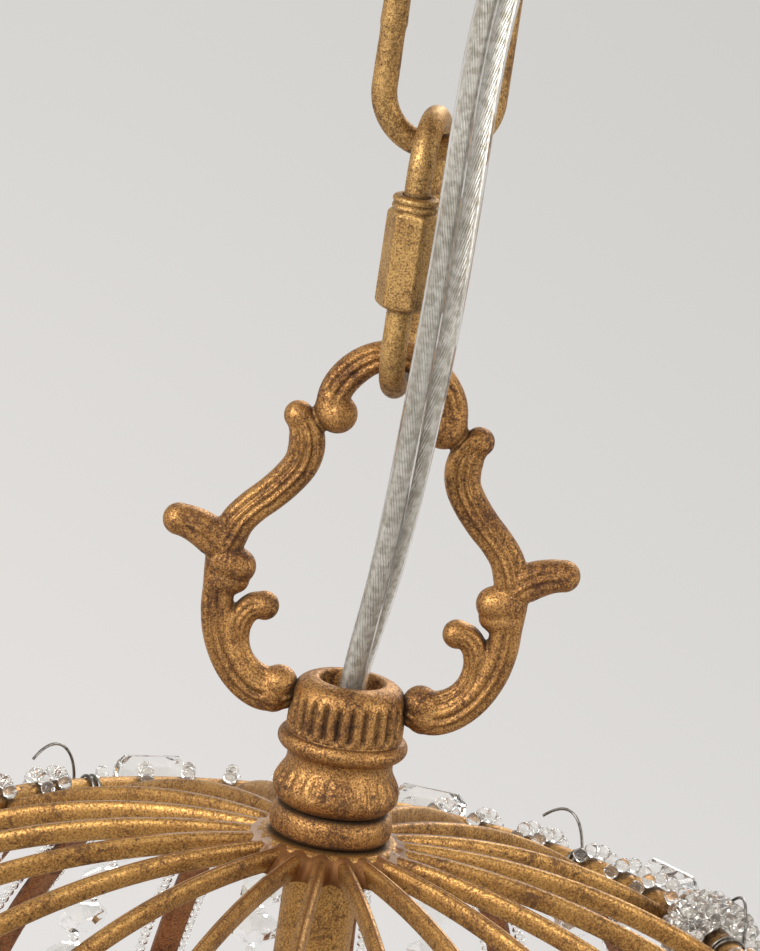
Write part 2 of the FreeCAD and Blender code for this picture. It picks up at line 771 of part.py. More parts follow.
# ---- nodes ------------------------------------------------------------------------------------
def cable_lengths():
    """The cable's route divided in the middles of two runs, where the links leave it free to flex."""
    low, high = cable_splits
    first_end = (cable_route[low - 1] + cable_route[low]) * 0.5
    second_end = (cable_route[high - 1] + cable_route[high]) * 0.5
    return (
        cable_route[:low] + [first_end],
        [first_end] + cable_route[low:high] + [second_end],
        [second_end] + cable_route[high:],
    )


def nodes():
    lower, middle, upper = cable_lengths()
    arms = [math.degrees(a) for a in lamp_bearings]
    made = {
        "canopy_cup": canopy_cup(),
        "mounting_strap": mounting_strap(),
        "canopy_nipple": tube(nipple_radius, nipple_bore, canopy_floor_z - eye_boss_height + 3.0, -0.2),
        "strap_nut": hexagon(locknut_flats, -strap_thickness - locknut_height, -strap_thickness)
                     .cut(cylinder(nipple_radius + fit_gap, -10, 0)),
        "terminal_block": terminal_block(),
        "cable_grommet": cable_grommet(),
        "canopy_eye": canopy_eye(),
        "chain_link": chain_link(),
        "quick_link_body": quick_link_body(),
        "lock_sleeve": lock_sleeve(),
        "cable_lower": soft_tube(lower, cable_radius),
        "cable_middle": soft_tube(middle, cable_radius),
        "cable_upper": soft_tube(upper, cable_radius),
        "cast_loop": cast_loop(),
        "collar_ring": collar_ring(),
        "cable_bush": cable_bush(),
        "stem_nipple": tube(nipple_radius, nipple_bore, hub_bottom_z - stem_overlap, nipple_top_z),
        "hub_disc": hub_disc(),
        "dome_ribs": around(dome_rib(), rib_count, rib_turn),
        "crown_ring": Part.makeTorus(crown_radius, crown_wire / 2, V(0, 0, crown_z)),
        "bead_wraps": bead_wraps(),
        "bead_knots": bead_knots(),
        "crown_prisms": around(prism(), knot_count, rib_turn + 3 * half_step),
        "tie_wires": around(tie_wire(), knot_count, rib_turn + tie_turn),
        "flared_bars": around(flared_bar(), rib_count, rib_turn),
        "body_band": body_band(),
        "band_octagons": around(octagon(), 2 * rib_count, rib_turn),
        "upper_strands": around(upper_strand(), rib_count, rib_turn + half_step),
        "lower_strands": around(lower_strand(), rib_count, rib_turn),
        "stem_tube": tube(stem_radius, stem_bore, lamp_hub_top_z + lid_height, hub_bottom_z),
        "inner_cable": cylinder(cable_radius, lamp_hub_top_z - 4.0, cable_route[0].z),
        "lamp_hub": lamp_hub(),
        "lamp_hub_lid": tube(lamp_hub_radius, cable_radius + 0.5, lamp_hub_top_z, lamp_hub_top_z + lid_height),
        "wire_connectors": [Part.makeCone(3.0, 1.8, 8.0, V(6.5 * math.cos(a), 6.5 * math.sin(a),
                            lamp_hub_bottom_z + lamp_hub_wall)) for a in lamp_bearings],
        "lamp_arms": [turned_about(lamp_arm(), a) for a in arms],
        "drip_pans": [turned_about(drip_pan(), a) for a in arms],
        "candle_sleeves": [turned_about(tube(candle_radius, candle_radius - candle_wall, candle_bottom_z,
                                             candle_top_z, lamp_circle), a) for a in arms],
        "lampholders": [turned_about(lampholder(), a) for a in arms],
        "finial_rod": cylinder(rod_radius, cup_bottom_z - 4.0, lamp_hub_bottom_z + 4.0),
        "finial_cup": finial_cup(),
        "finial_nut": finial_nut(),
        "ball_hook": ball_hook(),
        "crystal_ball": crystal_ball(),
    }
    for i, a in enumerate(arms):
        made["bulb_cap_%d" % (i + 1)] = turned_about(bulb_cap(), a)
        made["bulb_glass_%d" % (i + 1)] = turned_about(bulb_glass(), a)
    return made


os.makedirs("parts", exist_ok=True)
for name, shape in nodes().items():
    if isinstance(shape, list):
        shape = Part.makeCompound(shape)
    solids = shape.Solids
    if not solids or not all(s.isValid() for s in solids):
        raise RuntimeError("%s is not a valid solid" % name)
    whole = solids[0] if len(solids) == 1 else Part.makeCompound(solids)
    whole.exportStep("parts/%s.step" % name)
    print("%-18s %3d solids %10.1f mm3" % (name, len(solids), whole.Volume))
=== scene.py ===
"""Looks of the mini crystal chandelier: ceiling cup, chain, cast loop, ribbed crown, crystal basket and lamps."""

from math import cos, radians, sin

import bpy
import numpy as np
from mathutils import Matrix, Vector


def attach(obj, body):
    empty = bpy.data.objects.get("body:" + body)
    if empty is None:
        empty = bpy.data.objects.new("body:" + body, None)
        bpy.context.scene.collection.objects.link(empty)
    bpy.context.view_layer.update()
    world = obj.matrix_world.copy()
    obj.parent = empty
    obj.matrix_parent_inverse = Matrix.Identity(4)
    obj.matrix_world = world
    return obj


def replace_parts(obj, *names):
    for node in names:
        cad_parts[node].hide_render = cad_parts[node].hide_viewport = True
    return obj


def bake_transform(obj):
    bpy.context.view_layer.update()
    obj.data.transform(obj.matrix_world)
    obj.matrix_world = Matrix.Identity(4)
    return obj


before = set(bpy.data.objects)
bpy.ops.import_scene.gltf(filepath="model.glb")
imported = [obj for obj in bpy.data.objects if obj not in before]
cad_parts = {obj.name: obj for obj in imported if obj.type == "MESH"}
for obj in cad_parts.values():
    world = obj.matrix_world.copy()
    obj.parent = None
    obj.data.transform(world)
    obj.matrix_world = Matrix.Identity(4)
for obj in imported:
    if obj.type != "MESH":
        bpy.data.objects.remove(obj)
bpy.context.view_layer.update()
mm = 0.001

# ---- The view and the studio ------------------------------------------------------------------
# The fixture hangs over a wide pale floor. A long lens looks slightly down at the cast loop, and the
# camera leans over a little. Two soft boxes, a weak third one from behind and a pale room light it.
aim = np.array((-0.4, 0.0, -144.3)) * mm
distance, tilt, lean = 1.2, radians(14.5), radians(8.5)
back = np.array((0.0, -cos(tilt), sin(tilt)))
right, up = np.array((1.0, 0.0, 0.0)), np.array((0.0, sin(tilt), cos(tilt)))
across, upward = cos(lean) * right + sin(lean) * up, -sin(lean) * right + cos(lean) * up

lens = bpy.data.cameras.new("lens")
lens.lens, lens.clip_start = 268.0, 0.01
camera = bpy.data.objects.new("camera", lens)
camera.matrix_world = Matrix.LocRotScale(
    Vector(aim + distance * back), Matrix(np.stack([across, upward, back], 1).tolist()).to_quaternion(), None)
bpy.context.scene.collection.objects.link(camera)
bpy.context.scene.camera = camera
bpy.context.scene.view_settings.view_transform = "Standard"

lamps = {"left_softbox": ((-1.5, -1.3, 0.9), 1.3, 46.0), "right_softbox": ((1.7, -0.9, 0.5), 0.9, 15.0),
         "back_softbox": ((0.5, 1.6, 0.8), 1.0, 16.0)}
for name, (place, size, power) in lamps.items():
    light = bpy.data.lights.new(name, "AREA")
    light.size, light.energy = size, power
    lamp = bpy.data.objects.new(name, light)
    aimed = (Vector(aim.tolist()) - Vector(place)).to_track_quat("-Z", "Y")
    lamp.matrix_world = Matrix.LocRotScale(Vector(place), aimed, None)
    bpy.context.scene.collection.objects.link(lamp)


def linear(red, green, blue):
    """A colour given as 0-255 screen values, as the linear values that a shader takes."""
    screen = np.array((red, green, blue)) / 255.0
    return tuple(np.where(screen < 0.04045, screen / 12.92, ((screen + 0.055) / 1.055) ** 2.4).tolist()) + (1.0,)


class Level:
    """A shader socket used like a number. Each operator adds the Math node that works it out."""

    def __init__(self, tree, socket=None):
        self.tree, self.socket = tree, socket

    def node(self, kind, settings=(), inputs=(), out=0):
        """A node of that kind: its settings first, a ramp's stops among them, then its sockets' values or links."""
        made = self.tree.nodes.new("ShaderNode" + kind)
        for name, value in dict(settings).items():
            if name == "stops":
                stops = made.color_ramp.elements
                for end, (place, shade) in zip((0, -1), (value[0], value[-1])):
                    stops[end].position, stops[end].color = place, shade
                for place, shade in value[1:-1]:
                    stops.new(place).color = shade
            else:
                setattr(made, name, value)
        for name, value in dict(inputs).items():
            if isinstance(value, Level):
                self.tree.links.new(value.socket, made.inputs[name])
            else:
                made.inputs[name].default_value = value
        return Level(self.tree, made.outputs[out])

    def maths(self, operation, first, second=0.0):
        return self.node("Math", {"operation": operation}, {0: first, 1: second})

    def __add__(self, other): return self.maths("ADD", self, other)
    def __radd__(self, other): return self.maths("ADD", other, self)
    def __sub__(self, other): return self.maths("SUBTRACT", self, other)
    def __rsub__(self, other): return self.maths("SUBTRACT", other, self)
    def __mul__(self, other): return self.maths("MULTIPLY", self, other)
    def __rmul__(self, other): return self.maths("MULTIPLY", other, self)
    def __truediv__(self, other): return self.maths("DIVIDE", self, other)

    def between(self, low, high):
        """0 where the level is low, 1 where it is high, with a soft step between."""
        return self.node("MapRange", {"interpolation_type": "SMOOTHSTEP"}, {0: self, 1: low, 2: high})

    def mix(self, first, second):
        """The first colour where the level is 0, the second where it is 1."""
        return self.node("Mix", {"data_type": "RGBA"}, {0: self, 6: first, 7: second}, 2)


def in_sight(look):
    """1 where a ray comes from the camera, off a glossy surface or through glass, else 0."""
    ways = look.node("LightPath", out=0) + look.node("LightPath", out=3) + look.node("LightPath", out=6)
    return look.maths("MINIMUM", ways, 1.0)


floor_z, floor_reach = -0.9, 9.0
corner = np.array([(-1, -1), (1, -1), (1, 1), (-1, 1)]) * floor_reach
floor_mesh = bpy.data.meshes.new("floor")
floor_mesh.from_pydata([(x, y, floor_z) for x, y in corner.tolist()], [], [(0, 1, 2, 3)])
floor = bpy.data.objects.new("floor", floor_mesh)
bpy.context.scene.collection.objects.link(floor)
floor_paint = bpy.data.materials.new("floor_paint")
floor_paint.use_nodes = True
tree = floor_paint.node_tree
tree.nodes.clear()
look = Level(tree)
spot = look.node("SeparateXYZ", inputs={0: look.node("TexCoord", out=3)})
sideways, away = spot, Level(tree, spot.socket.node.outputs[1])
# Painted light: camera, glossy and glass rays see the floor mostly as a glow that is lighter near and to the left and
# darker far off and to the right. Only a tenth of it is the lit floor, so the object's shadow on it stays faint.
painted_near_light = sideways.between(-0.30, 0.34).mix(linear(236, 232, 229), linear(227, 224, 221))
painted_far_light = sideways.between(-0.35, 0.40).mix(linear(219, 217, 213), linear(213, 211, 207))
shade = away.between(1.2, 4.9).mix(painted_near_light, painted_far_light)
lit = look.node("BsdfDiffuse", inputs={"Color": linear(226, 224, 221)})
painted_floor_glow = look.node("Emission", inputs={"Color": shade})
paint = look.node("MixShader", inputs={0: in_sight(look) * 0.9, 1: lit, 2: painted_floor_glow})
tree.links.new(paint.socket, tree.nodes.new("ShaderNodeOutputMaterial").inputs[0])
floor_mesh.materials.append(floor_paint)

world = bpy.data.worlds.new("room")
world.use_nodes = True
bpy.context.scene.world = world
tree = world.node_tree
tree.nodes.clear()
look = Level(tree)
room_light = look.node("Background", inputs={"Color": (0.90, 0.94, 1.0, 1.0), "Strength": 0.40})
room_seen = look.node("Background", inputs={"Color": linear(232, 230, 226), "Strength": 0.92})
room = look.node("MixShader", inputs={0: in_sight(look), 1: room_light, 2: room_seen})
tree.links.new(room.socket, tree.nodes.new("ShaderNodeOutputWorld").inputs[0])

# ---- The cable --------------------------------------------------------------------------------
# Flat twin cable in clear soft plastic, with two bundles of tinned strands. It comes up out of the collar
# beside the chain and goes into the ceiling cup, in three stretches that meet at two points beside the chain.
rim_z = -180.6
cable_points = np.array([
    (0.0, 0.0, -12.0), (0.0, 0.0, -3.0), (1.2, -1.5, 7.0), (3.0, -4.6, 20.0), (4.3, -8.2, 36.0),
    (5.2, -11.4, 53.0), (5.9, -13.3, 70.0), (6.2, -13.9, 86.0), (6.2, -13.7, 102.0), (6.7, -12.8, 117.0),
    (8.2, -11.2, 131.0), (10.4, -9.4, 144.0), (12.4, -9.0, 154.0), (15.0, -9.0, 169.6)]) * mm
cable_points[:, 2] += rim_z * mm
first_join = (cable_points[5] + cable_points[6]) / 2
second_join = (cable_points[8] + cable_points[9]) / 2
core_spread, core_cover = 1.62 * mm, 1.95 * mm      # from the middle to each core, and the plastic's radius round it
strand_count, strand_radius, strand_reach, strand_pitch = 16, 0.185 * mm, 0.95 * mm, 30.0 * mm
collar_turn, top_turn, turn_height = 76.0, 4.0, 75.0   # degrees turned at the collar and at the top, over this height


def joined_rings(rings, looped=False):
    """Points and faces of a surface through rows of points: each row is joined to the next, and the end rows
    are filled, or joined to each other when the rows go all the way round."""
    rows, count = rings.shape[:2]
    row = np.arange(rows if looped else rows - 1)[:, None] * count
    step = np.arange(count)[None, :]
    nearer, farther = row + step, row + (step + 1) % count
    quads = np.stack([nearer, farther, (farther + count) % (rows * count), (nearer + count) % (rows * count)], -1)
    faces = quads.reshape(-1, 4).tolist()
    if not looped:
        faces += [list(range(count))[::-1], list(range((rows - 1) * count, rows * count))]
    return facing_out(rings.reshape(-1, 3), faces)


def facing_out(points, faces):
    """Turns every face round when the shell's signed volume is below zero."""
    quads = np.array([f for f in faces if len(f) == 4])
    a, b, c, d = (points[quads[:, i]] for i in range(4))
    volume = (np.einsum("ij,ij->i", a, np.cross(b, c)) + np.einsum("ij,ij->i", a, np.cross(c, d))).sum()
    for cap in (f for f in faces if len(f) != 4):
        fan = points[np.array(cap)]
        volume += np.einsum("ij,ij->i", fan[:1].repeat(len(cap) - 2, 0), np.cross(fan[1:-1], fan[2:])).sum()
    return points, faces if volume > 0 else [list(f)[::-1] for f in faces]


def carried(path, outline, beside, looped=False):
    """An outline carried along a path. A ring is the path's point, plus the outline's first number along the
    direction square to the path and to beside, plus its second number along beside's own part square to it."""
    ahead = np.roll(path, -1, 0) - np.roll(path, 1, 0) if looped else np.gradient(path, axis=0)
    ahead = ahead / np.linalg.norm(ahead, axis=1, keepdims=True)
    cross = np.cross(ahead, np.asarray(beside, float))
    cross = cross / np.linalg.norm(cross, axis=1, keepdims=True)
    along = np.cross(cross, ahead)
    return path[:, None] + outline[..., :1] * cross[:, None] + outline[..., 1:] * along[:, None]


def shells(parts):
    """Several closed surfaces as one list of points and one of faces."""
    start, points, faces = 0, [], []
    for part_points, part_faces in parts:
        points.append(part_points)
        faces += [[corner + start for corner in face] for face in part_faces]
        start += len(part_points)
    return np.concatenate(points), faces


def piece(name, surface, material, smooth=True):
    """A mesh object at the origin from points and faces, in metres. Smooth faces still meet in a sharp line where
    they turn by more than 48 degrees."""
    points, faces = surface
    mesh = bpy.data.meshes.new(name)
    mesh.from_pydata(points.tolist(), [], faces)
    mesh.polygons.foreach_set("use_smooth", np.full(len(mesh.polygons), smooth))
    if smooth:
        mesh.set_sharp_from_angle(angle=radians(48))
    mesh.materials.append(material)
    made = bpy.data.objects.new(name, mesh)
    bpy.context.scene.collection.objects.link(made)
    return made


def new_material(name):
    """A material, its surface shader, a starting level and the object's own coordinates."""
    material = bpy.data.materials.new(name)
    material.use_nodes = True
    shader = material.node_tree.nodes["Principled BSDF"]
    look = Level(material.node_tree)
    return material, shader, look, look.node("TexCoord", out=3)


def feed(look, shader, levels):
    """Links the levels, and sets the plain numbers, on the surface shader's sockets."""
    for socket, value in levels.items():
        if isinstance(value, Level):
            look.tree.links.new(value.socket, shader.inputs[socket])
        else:
            shader.inputs[socket].default_value = value


def clear_plastic():
    """Clear soft plastic: a little cloudy in long patches, with faint ripples from the extruder."""
    material, shader, look, place = new_material("clear_plastic")
    cloud = look.node("TexNoise", inputs={"Vector": place, "Scale": 90.0, "Detail": 3.0})
    ripple = look.node("TexNoise", inputs={"Vector": place, "Scale": 420.0, "Detail": 2.0})
    feed(look, shader, {
        "Base Color": cloud.between(0.3, 0.7).mix(linear(250, 249, 246), linear(233, 231, 225)),
        "Roughness": 0.05 + 0.10 * cloud.between(0.35, 0.75), "IOR": 1.36, "Transmission Weight": 0.91,
        "Normal": look.node("Bump", inputs={"Strength": 0.4, "Distance": 0.12 * mm, "Height": ripple})})
    return material


def open_end():
    """What closes a stretch where the next one goes on: it lets everything through."""
    material, shader = new_material("open_end")[:2]
    shader.inputs["Alpha"].default_value = 0.0
    return material


def tinned_wire():
    """Tinned copper strands: bright grey with dull and slightly yellow patches."""
    material, shader, look, place = new_material("tinned_wire")
    patch = look.node("TexNoise", inputs={"Vector": place, "Scale": 800.0, "Detail": 4.0})
    feed(look, shader, {
        "Base Color": patch.between(0.35, 0.7).mix(linear(232, 230, 224), linear(176, 168, 152)),
        "Metallic": 0.92, "Roughness": 0.22 + 0.2 * patch})
    return material


def cable_line(name, points):
    """Points along the smooth line that the stretch's route sets, read from its own spline."""
    curve = bpy.data.curves.new(name, "CURVE")
    curve.dimensions, curve.resolution_u = "3D", 20
    spline = curve.splines.new("NURBS")
    spline.points.add(len(points) - 1)
    spline.points.foreach_set("co", np.hstack([points, np.ones((len(points), 1))]).ravel())
    spline.order_u = 3
    spline.use_endpoint_u = True
    holder = bpy.data.objects.new(name, curve)
    line = bpy.data.meshes.new_from_object(holder)
    path = np.zeros(len(line.vertices) * 3)
    line.vertices.foreach_get("co", path)
    bpy.data.meshes.remove(line)
    bpy.data.objects.remove(holder)
    return path.reshape(-1, 3)


jacket_paint, strand_paint, end_paint = clear_plastic(), tinned_wire(), open_end()
stretches = [
    ("cable_lower", "fixture", "quick_link", [*cable_points[:6], first_join]),
    ("cable_middle", "quick_link", "chain_link", [first_join, *cable_points[6:9], second_join]),
    ("cable_upper", "chain_link", "ceiling", [second_join, *cable_points[9:]])]
for name, lower_body, upper_body, points in stretches:
    line = cable_line(name + "_line", np.array(points))
    # The flat side faces forwards at the top and turns away towards the collar.
    upwards = np.clip((line[:, 2] / mm - rim_z) / turn_height, 0, 1)
    turn = -np.radians(collar_turn + (top_turn - collar_turn) * upwards)[:, None]
    angle = np.linspace(0, 2 * np.pi, 40, endpoint=False)[None, :]
    reach = core_spread * np.abs(np.cos(angle)) + np.sqrt(core_cover**2 - (core_spread * np.sin(angle))**2)
    outline = np.stack([reach * np.cos(angle + turn), reach * np.sin(angle + turn)], -1)
    jacket = piece(name + "_jacket", joined_rings(carried(line, outline, (0, 1, 0))), jacket_paint)
    jacket.data.materials.append(end_paint)
    for cap in jacket.data.polygons[-2:]:
        cap.material_index = 1
    angle = np.linspace(0, 2 * np.pi, 7, endpoint=False)[None, :]
    bundle = []
    for side in (-1, 1):
        for strand in range(strand_count):
            lay = 2 * np.pi * (side * line[:, 2] / strand_pitch + strand / strand_count)[:, None]
            middle_x = side * core_spread * np.cos(turn) + strand_reach * np.cos(lay)
            middle_y = side * core_spread * np.sin(turn) + strand_reach * np.sin(lay)
            outline = np.stack([middle_x + strand_radius * np.cos(angle), middle_y + strand_radius * np.sin(angle)], -1)
            bundle.append(joined_rings(carried(line, outline, (0, 1, 0))))
    wires = piece(name + "_strands", shells(bundle), strand_paint)
    for part in (jacket, wires):
        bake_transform(part)
    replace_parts(jacket, name)

# ---- Chain link and quick link ----------------------------------------------------------------
# Round steel wire bent to an oval and butt-welded on one side, and an oval link that opens, closed by a
# hexagonal sleeve with a grooved collar. Both are leafed in yellow gold that has dulled to brown.


def leafed_metal(name, bright, dull, primer, bare=0.5, grain=1.0, rough=0.40, pit_and_shade_colour=(44, 28, 18), near=1.6):
    """Metal leaf rubbed over a red-brown primer. Fine grains go from bright to dull, ragged breaks in the leaf show
    the primer, small dark specks are pits, and hollows closer than near millimetres get painted shade, dark and dull."""
    material, shader, look, place = new_material(name)
    cloud = look.node("TexNoise", inputs={"Vector": place, "Scale": 130.0 * grain, "Detail": 4.0, "Roughness": 0.6})
    fine = look.node("TexNoise", inputs={"Vector": place, "Scale": 3100.0 * grain, "Detail": 5.0, "Roughness": 0.72})
    torn = look.node("TexNoise", inputs={"Vector": place, "Scale": 900.0 * grain, "Detail": 8.0,
                                         "Roughness": 0.78, "Distortion": 0.5})
    speck = look.node("TexNoise", inputs={"Vector": place, "Scale": 3300.0 * grain, "Detail": 2.0})
    # Painted shade: ambient occlusion within near millimetres marks the hollows, which are then darkened, made duller
    # and rougher.
    painted_hollow_shade = 1.0 - look.node("AmbientOcclusion", {"samples": 6}, {"Distance": near * mm}, 1).between(0.42, 0.97)
    worn = fine + 0.28 * (cloud - 0.5)
    colour = worn.between(0.41, 0.59).mix(linear(*bright), linear(*dull))
    broken = (torn + 0.36 * (cloud - 0.5)).between(0.58 - 0.09 * bare, 0.70 - 0.09 * bare)
    colour = (broken * 0.85).mix(colour, linear(*primer))
    pit = speck.between(0.57, 0.68)
    colour = (pit * 0.72).mix(colour, linear(*pit_and_shade_colour))
    # The hollows' painted shade, in the same dark colour as the pits.
    colour = (painted_hollow_shade * 0.8).mix(colour, linear(*pit_and_shade_colour))
    height = fine * 0.7 + torn * 0.5 - pit * 0.35
    feed(look, shader, {
        "Base Color": colour, "Metallic": 0.92 - 0.35 * painted_hollow_shade - 0.3 * pit - 0.2 * broken,
        "Roughness": rough + 0.14 * worn.between(0.36, 0.62) + 0.14 * broken + 0.12 * painted_hollow_shade,
        "Normal": look.node("Bump", inputs={"Strength": 0.5, "Distance": 0.15 * mm, "Height": height})})
    return material


link_gold = leafed_metal("link_gold", (208, 168, 106), (140, 104, 64), (100, 72, 48), bare=0.65, rough=0.42)


def ellipse(radii, count):
    """An outline of count points round each radius: a pair of numbers for every row."""
    angle = np.linspace(0, 2 * np.pi, count, endpoint=False)
    return np.asarray(radii, float).reshape(-1, 1, 1) * np.stack([np.cos(angle), np.sin(angle)], -1)


def oval_line(length, width, rows):
    """Points along an oval in the XZ plane, evenly spaced: two straight sides joined by half circles."""
    bend, half = width / 2, (length - width) / 2
    side, arch = 2 * half, np.pi * bend
    s = np.linspace(0, 2 * (side + arch), rows, endpoint=False)
    turned = s >= side + arch
    s = np.where(turned, s - side - arch, s)
    angle = np.clip((s - side) / bend, 0, np.pi)
    x, z = bend * np.cos(angle), np.where(s < side, s - half, half + bend * np.sin(angle))
    sign = np.where(turned, -1.0, 1.0)
    return np.stack([sign * x, 0 * x, sign * z], -1)


link_middle_z, link_length, link_width, link_wire, weld_z = -65.5, 47.0, 23.0, 4.5, -1.5
line = oval_line(link_length - link_wire, link_width - link_wire, 220)
from_weld, welded_side = line[:, 2] - weld_z, line[:, 0] < 0
weld = np.exp(-(from_weld / 1.1) ** 2) * welded_side
step = 0.10 * np.tanh(from_weld / 0.5) * np.exp(-(from_weld / 5.0) ** 2) * welded_side
radius = link_wire / 2 - 0.05 + 0.10 * weld + 0.9 * step
surface, faces = joined_rings(carried(line, ellipse(radius, 24), (0, 1, 0), True), True)
link = piece("chain_link_oval", ((surface + (0, 0, link_middle_z)) * mm, faces), link_gold)
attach(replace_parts(link, "chain_link"), "chain_link")

quick_middle_z, quick_length, quick_width, quick_wire = -105.05, 50.9, 22.0, 4.6
quick_side, quick_turn = -(quick_width - quick_wire) / 2, radians(-8.0)
sleeve_low, sleeve_high, sleeve_flats, sleeve_corner = -112.85, -93.55, 8.0, 1.135


def turned_by(points, angle):
    """Points turned about the Z axis."""
    return points @ np.array([(cos(angle), sin(angle), 0), (-sin(angle), cos(angle), 0), (0, 0, 1)])


line = turned_by(oval_line(quick_length - quick_wire, quick_width - quick_wire, 260), np.pi / 2)
inside = (line[:, 1] < 0) & (np.abs(line[:, 2] + quick_middle_z - (sleeve_low + sleeve_high) / 2) < 7.5)
thread = 0.22 * inside * (1 + np.sin(2 * np.pi * line[:, 2] / 1.0))
surface, faces = joined_rings(carried(line, ellipse(quick_wire / 2 - 0.1 - thread, 24), (1, 0, 0), True), True)
surface = turned_by(surface + (0, 0, quick_middle_z), quick_turn)
link = piece("quick_link_oval", (surface * mm, faces), link_gold)
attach(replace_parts(link, "quick_link_body"), "quick_link")


def hexagon_reach(angle, flats, soft):
    """Distance from the middle to a hexagon's side at an angle; soft rounds its corners off."""
    from_flat = np.mod(angle, np.pi / 3) - np.pi / 6
    return np.minimum(flats / 2 / np.cos(from_flat), flats / 2 * soft)


heights = np.array([sleeve_low, sleeve_low + 0.35, sleeve_low + 0.9, sleeve_low + 1.5, -106.0, -100.0,
                    sleeve_high - 3.3, sleeve_high - 2.75, sleeve_high - 2.5, sleeve_high - 2.3, sleeve_high - 1.9,
                    sleeve_high - 1.5, sleeve_high - 1.3, sleeve_high - 1.1, sleeve_high - 0.9, sleeve_high - 0.5,
                    sleeve_high - 0.15, sleeve_high])
hexed = np.array([0.2, 0.7, 1.0, 1.0, 1.0, 1.0, 1.0, 0.55, 0.05, 0, 0, 0, 0, 0, 0, 0, 0, 0])
round_reach = np.array([3.3, 3.65, 3.8, 3.85, 3.85, 3.85, 3.85, 3.7, 3.6, 3.85, 3.95, 3.8, 3.55, 3.8, 3.95, 3.95,
                        3.7, 3.2])
angle = np.linspace(0, 2 * np.pi, 96, endpoint=False)
hexagon = hexagon_reach(angle, sleeve_flats, sleeve_corner)[None, :]
reach = hexed[:, None] * hexagon + (1 - hexed[:, None]) * round_reach[:, None]
reach = np.vstack([reach, np.full((2, 96), quick_wire / 2 + 0.05)])
heights = np.r_[heights, sleeve_high, sleeve_low]
rings = np.stack([reach * np.cos(angle), reach * np.sin(angle) + quick_side, heights[:, None] + 0 * reach], -1)
surface, faces = joined_rings(turned_by(rings, quick_turn), True)
sleeve = piece("lock_sleeve_hexagon", (surface * mm, faces), link_gold, smooth=False)
sleeve.modifiers.new("soft_edges", "BEVEL").width = 0.25 * mm
sleeve.modifiers["soft_edges"].segments = 2
sleeve.modifiers["soft_edges"].angle_limit = radians(25)
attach(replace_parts(sleeve, "lock_sleeve"), "lock_sleeve")

# ---- The cast loop ----------------------------------------------------------------------------
# A lyre-shaped loop of cast zinc: scrolls, curled knobs and leaf tips that run into each other, with tooled
# grooves along them. It is one casting with the fluted collar that the stem's tube screws into.
coppery_gold = leafed_metal("coppery_gold", (198, 150, 90), (126, 85, 50), (84, 54, 40), bare=0.8, rough=0.44,
                            pit_and_shade_colour=(40, 30, 25), near=1.9)


def smooth_line(stations, rows):
    """Numbers between stations, each curve piece passing through its own two and leaning on their neighbours."""
    stations = np.asarray(stations, float)
    spot = np.linspace(0, len(stations) - 1, rows)
    at = np.minimum(spot.astype(int), len(stations) - 2)
    t = (spot - at)[:, None]
    padded = np.vstack([2 * stations[0] - stations[1], stations, 2 * stations[-1] - stations[-2]])
    a, b, c, d = (padded[at + i] for i in range(4))
    return 0.5 * (2 * b + (c - a) * t + (2 * a - 5 * b + 4 * c - d) * t**2 + (3 * b - a - 3 * c + d) * t**3)


def cast_limb(stations, grooves=(), deep=0.72, flat=1.0):
    """A limb in the XZ plane through (x, height, radius) stations, with round ends. Its section is a circle, flat
    times as deep as it is wide, less a narrow trough at each of the groove angles on its front and back. A trough is
    deep millimetres deep on a limb of the usual radius."""
    usual_radius, trough_spread = 2.6, 0.17
    core = smooth_line(stations, 14 * len(stations))
    path, radius = core[:, [0, 1]], core[:, 2]
    bend = np.linspace(0, np.pi / 2, 9)[1:]
    first, last = path[0] - path[1], path[-1] - path[-2]
    first, last = first / np.linalg.norm(first), last / np.linalg.norm(last)
    path = np.vstack([path[0] + radius[0] * np.cos(bend)[:, None] * first, path,
                      path[-1] + radius[-1] * np.cos(bend)[::-1, None] * last])
    share = np.r_[np.sin(bend), np.ones(len(radius)), np.sin(bend)[::-1]]
    share[0], share[-1] = 0.12, 0.12
    radius = np.r_[np.full(len(bend), radius[0]), radius, np.full(len(bend), radius[-1])] * share
    angle = np.linspace(0, 2 * np.pi, 96, endpoint=False)
    shape = np.ones_like(angle)
    for groove in grooves:
        for face in (radians(groove), -radians(groove)):
            apart = np.abs(np.angle(np.exp(1j * (angle - face))))
            shape -= deep / usual_radius * np.exp(-(apart / trough_spread) ** 2)
    ease = np.clip(share, 0, 1)[:, None] ** 2
    reach = radius[:, None] * (1 + (shape[None, :] - 1) * ease)
    line = np.stack([path[:, 0], 0 * path[:, 0], path[:, 1]], -1)
    return joined_rings(carried(line, np.stack([reach * np.cos(angle), flat * reach * np.sin(angle)], -1), (0, 1, 0)))


def ball(x, z, radius):
    """A round knob: rings from one pole to the other along Y."""
    bend, turn = np.linspace(0.08, np.pi - 0.08, 18)[:, None], np.linspace(0, 2 * np.pi, 32, endpoint=False)
    return joined_rings(np.stack([radius * np.sin(bend) * np.cos(turn) + x, 0 * turn - radius * np.cos(bend),
                                  radius * np.sin(bend) * np.sin(turn) + z], -1))


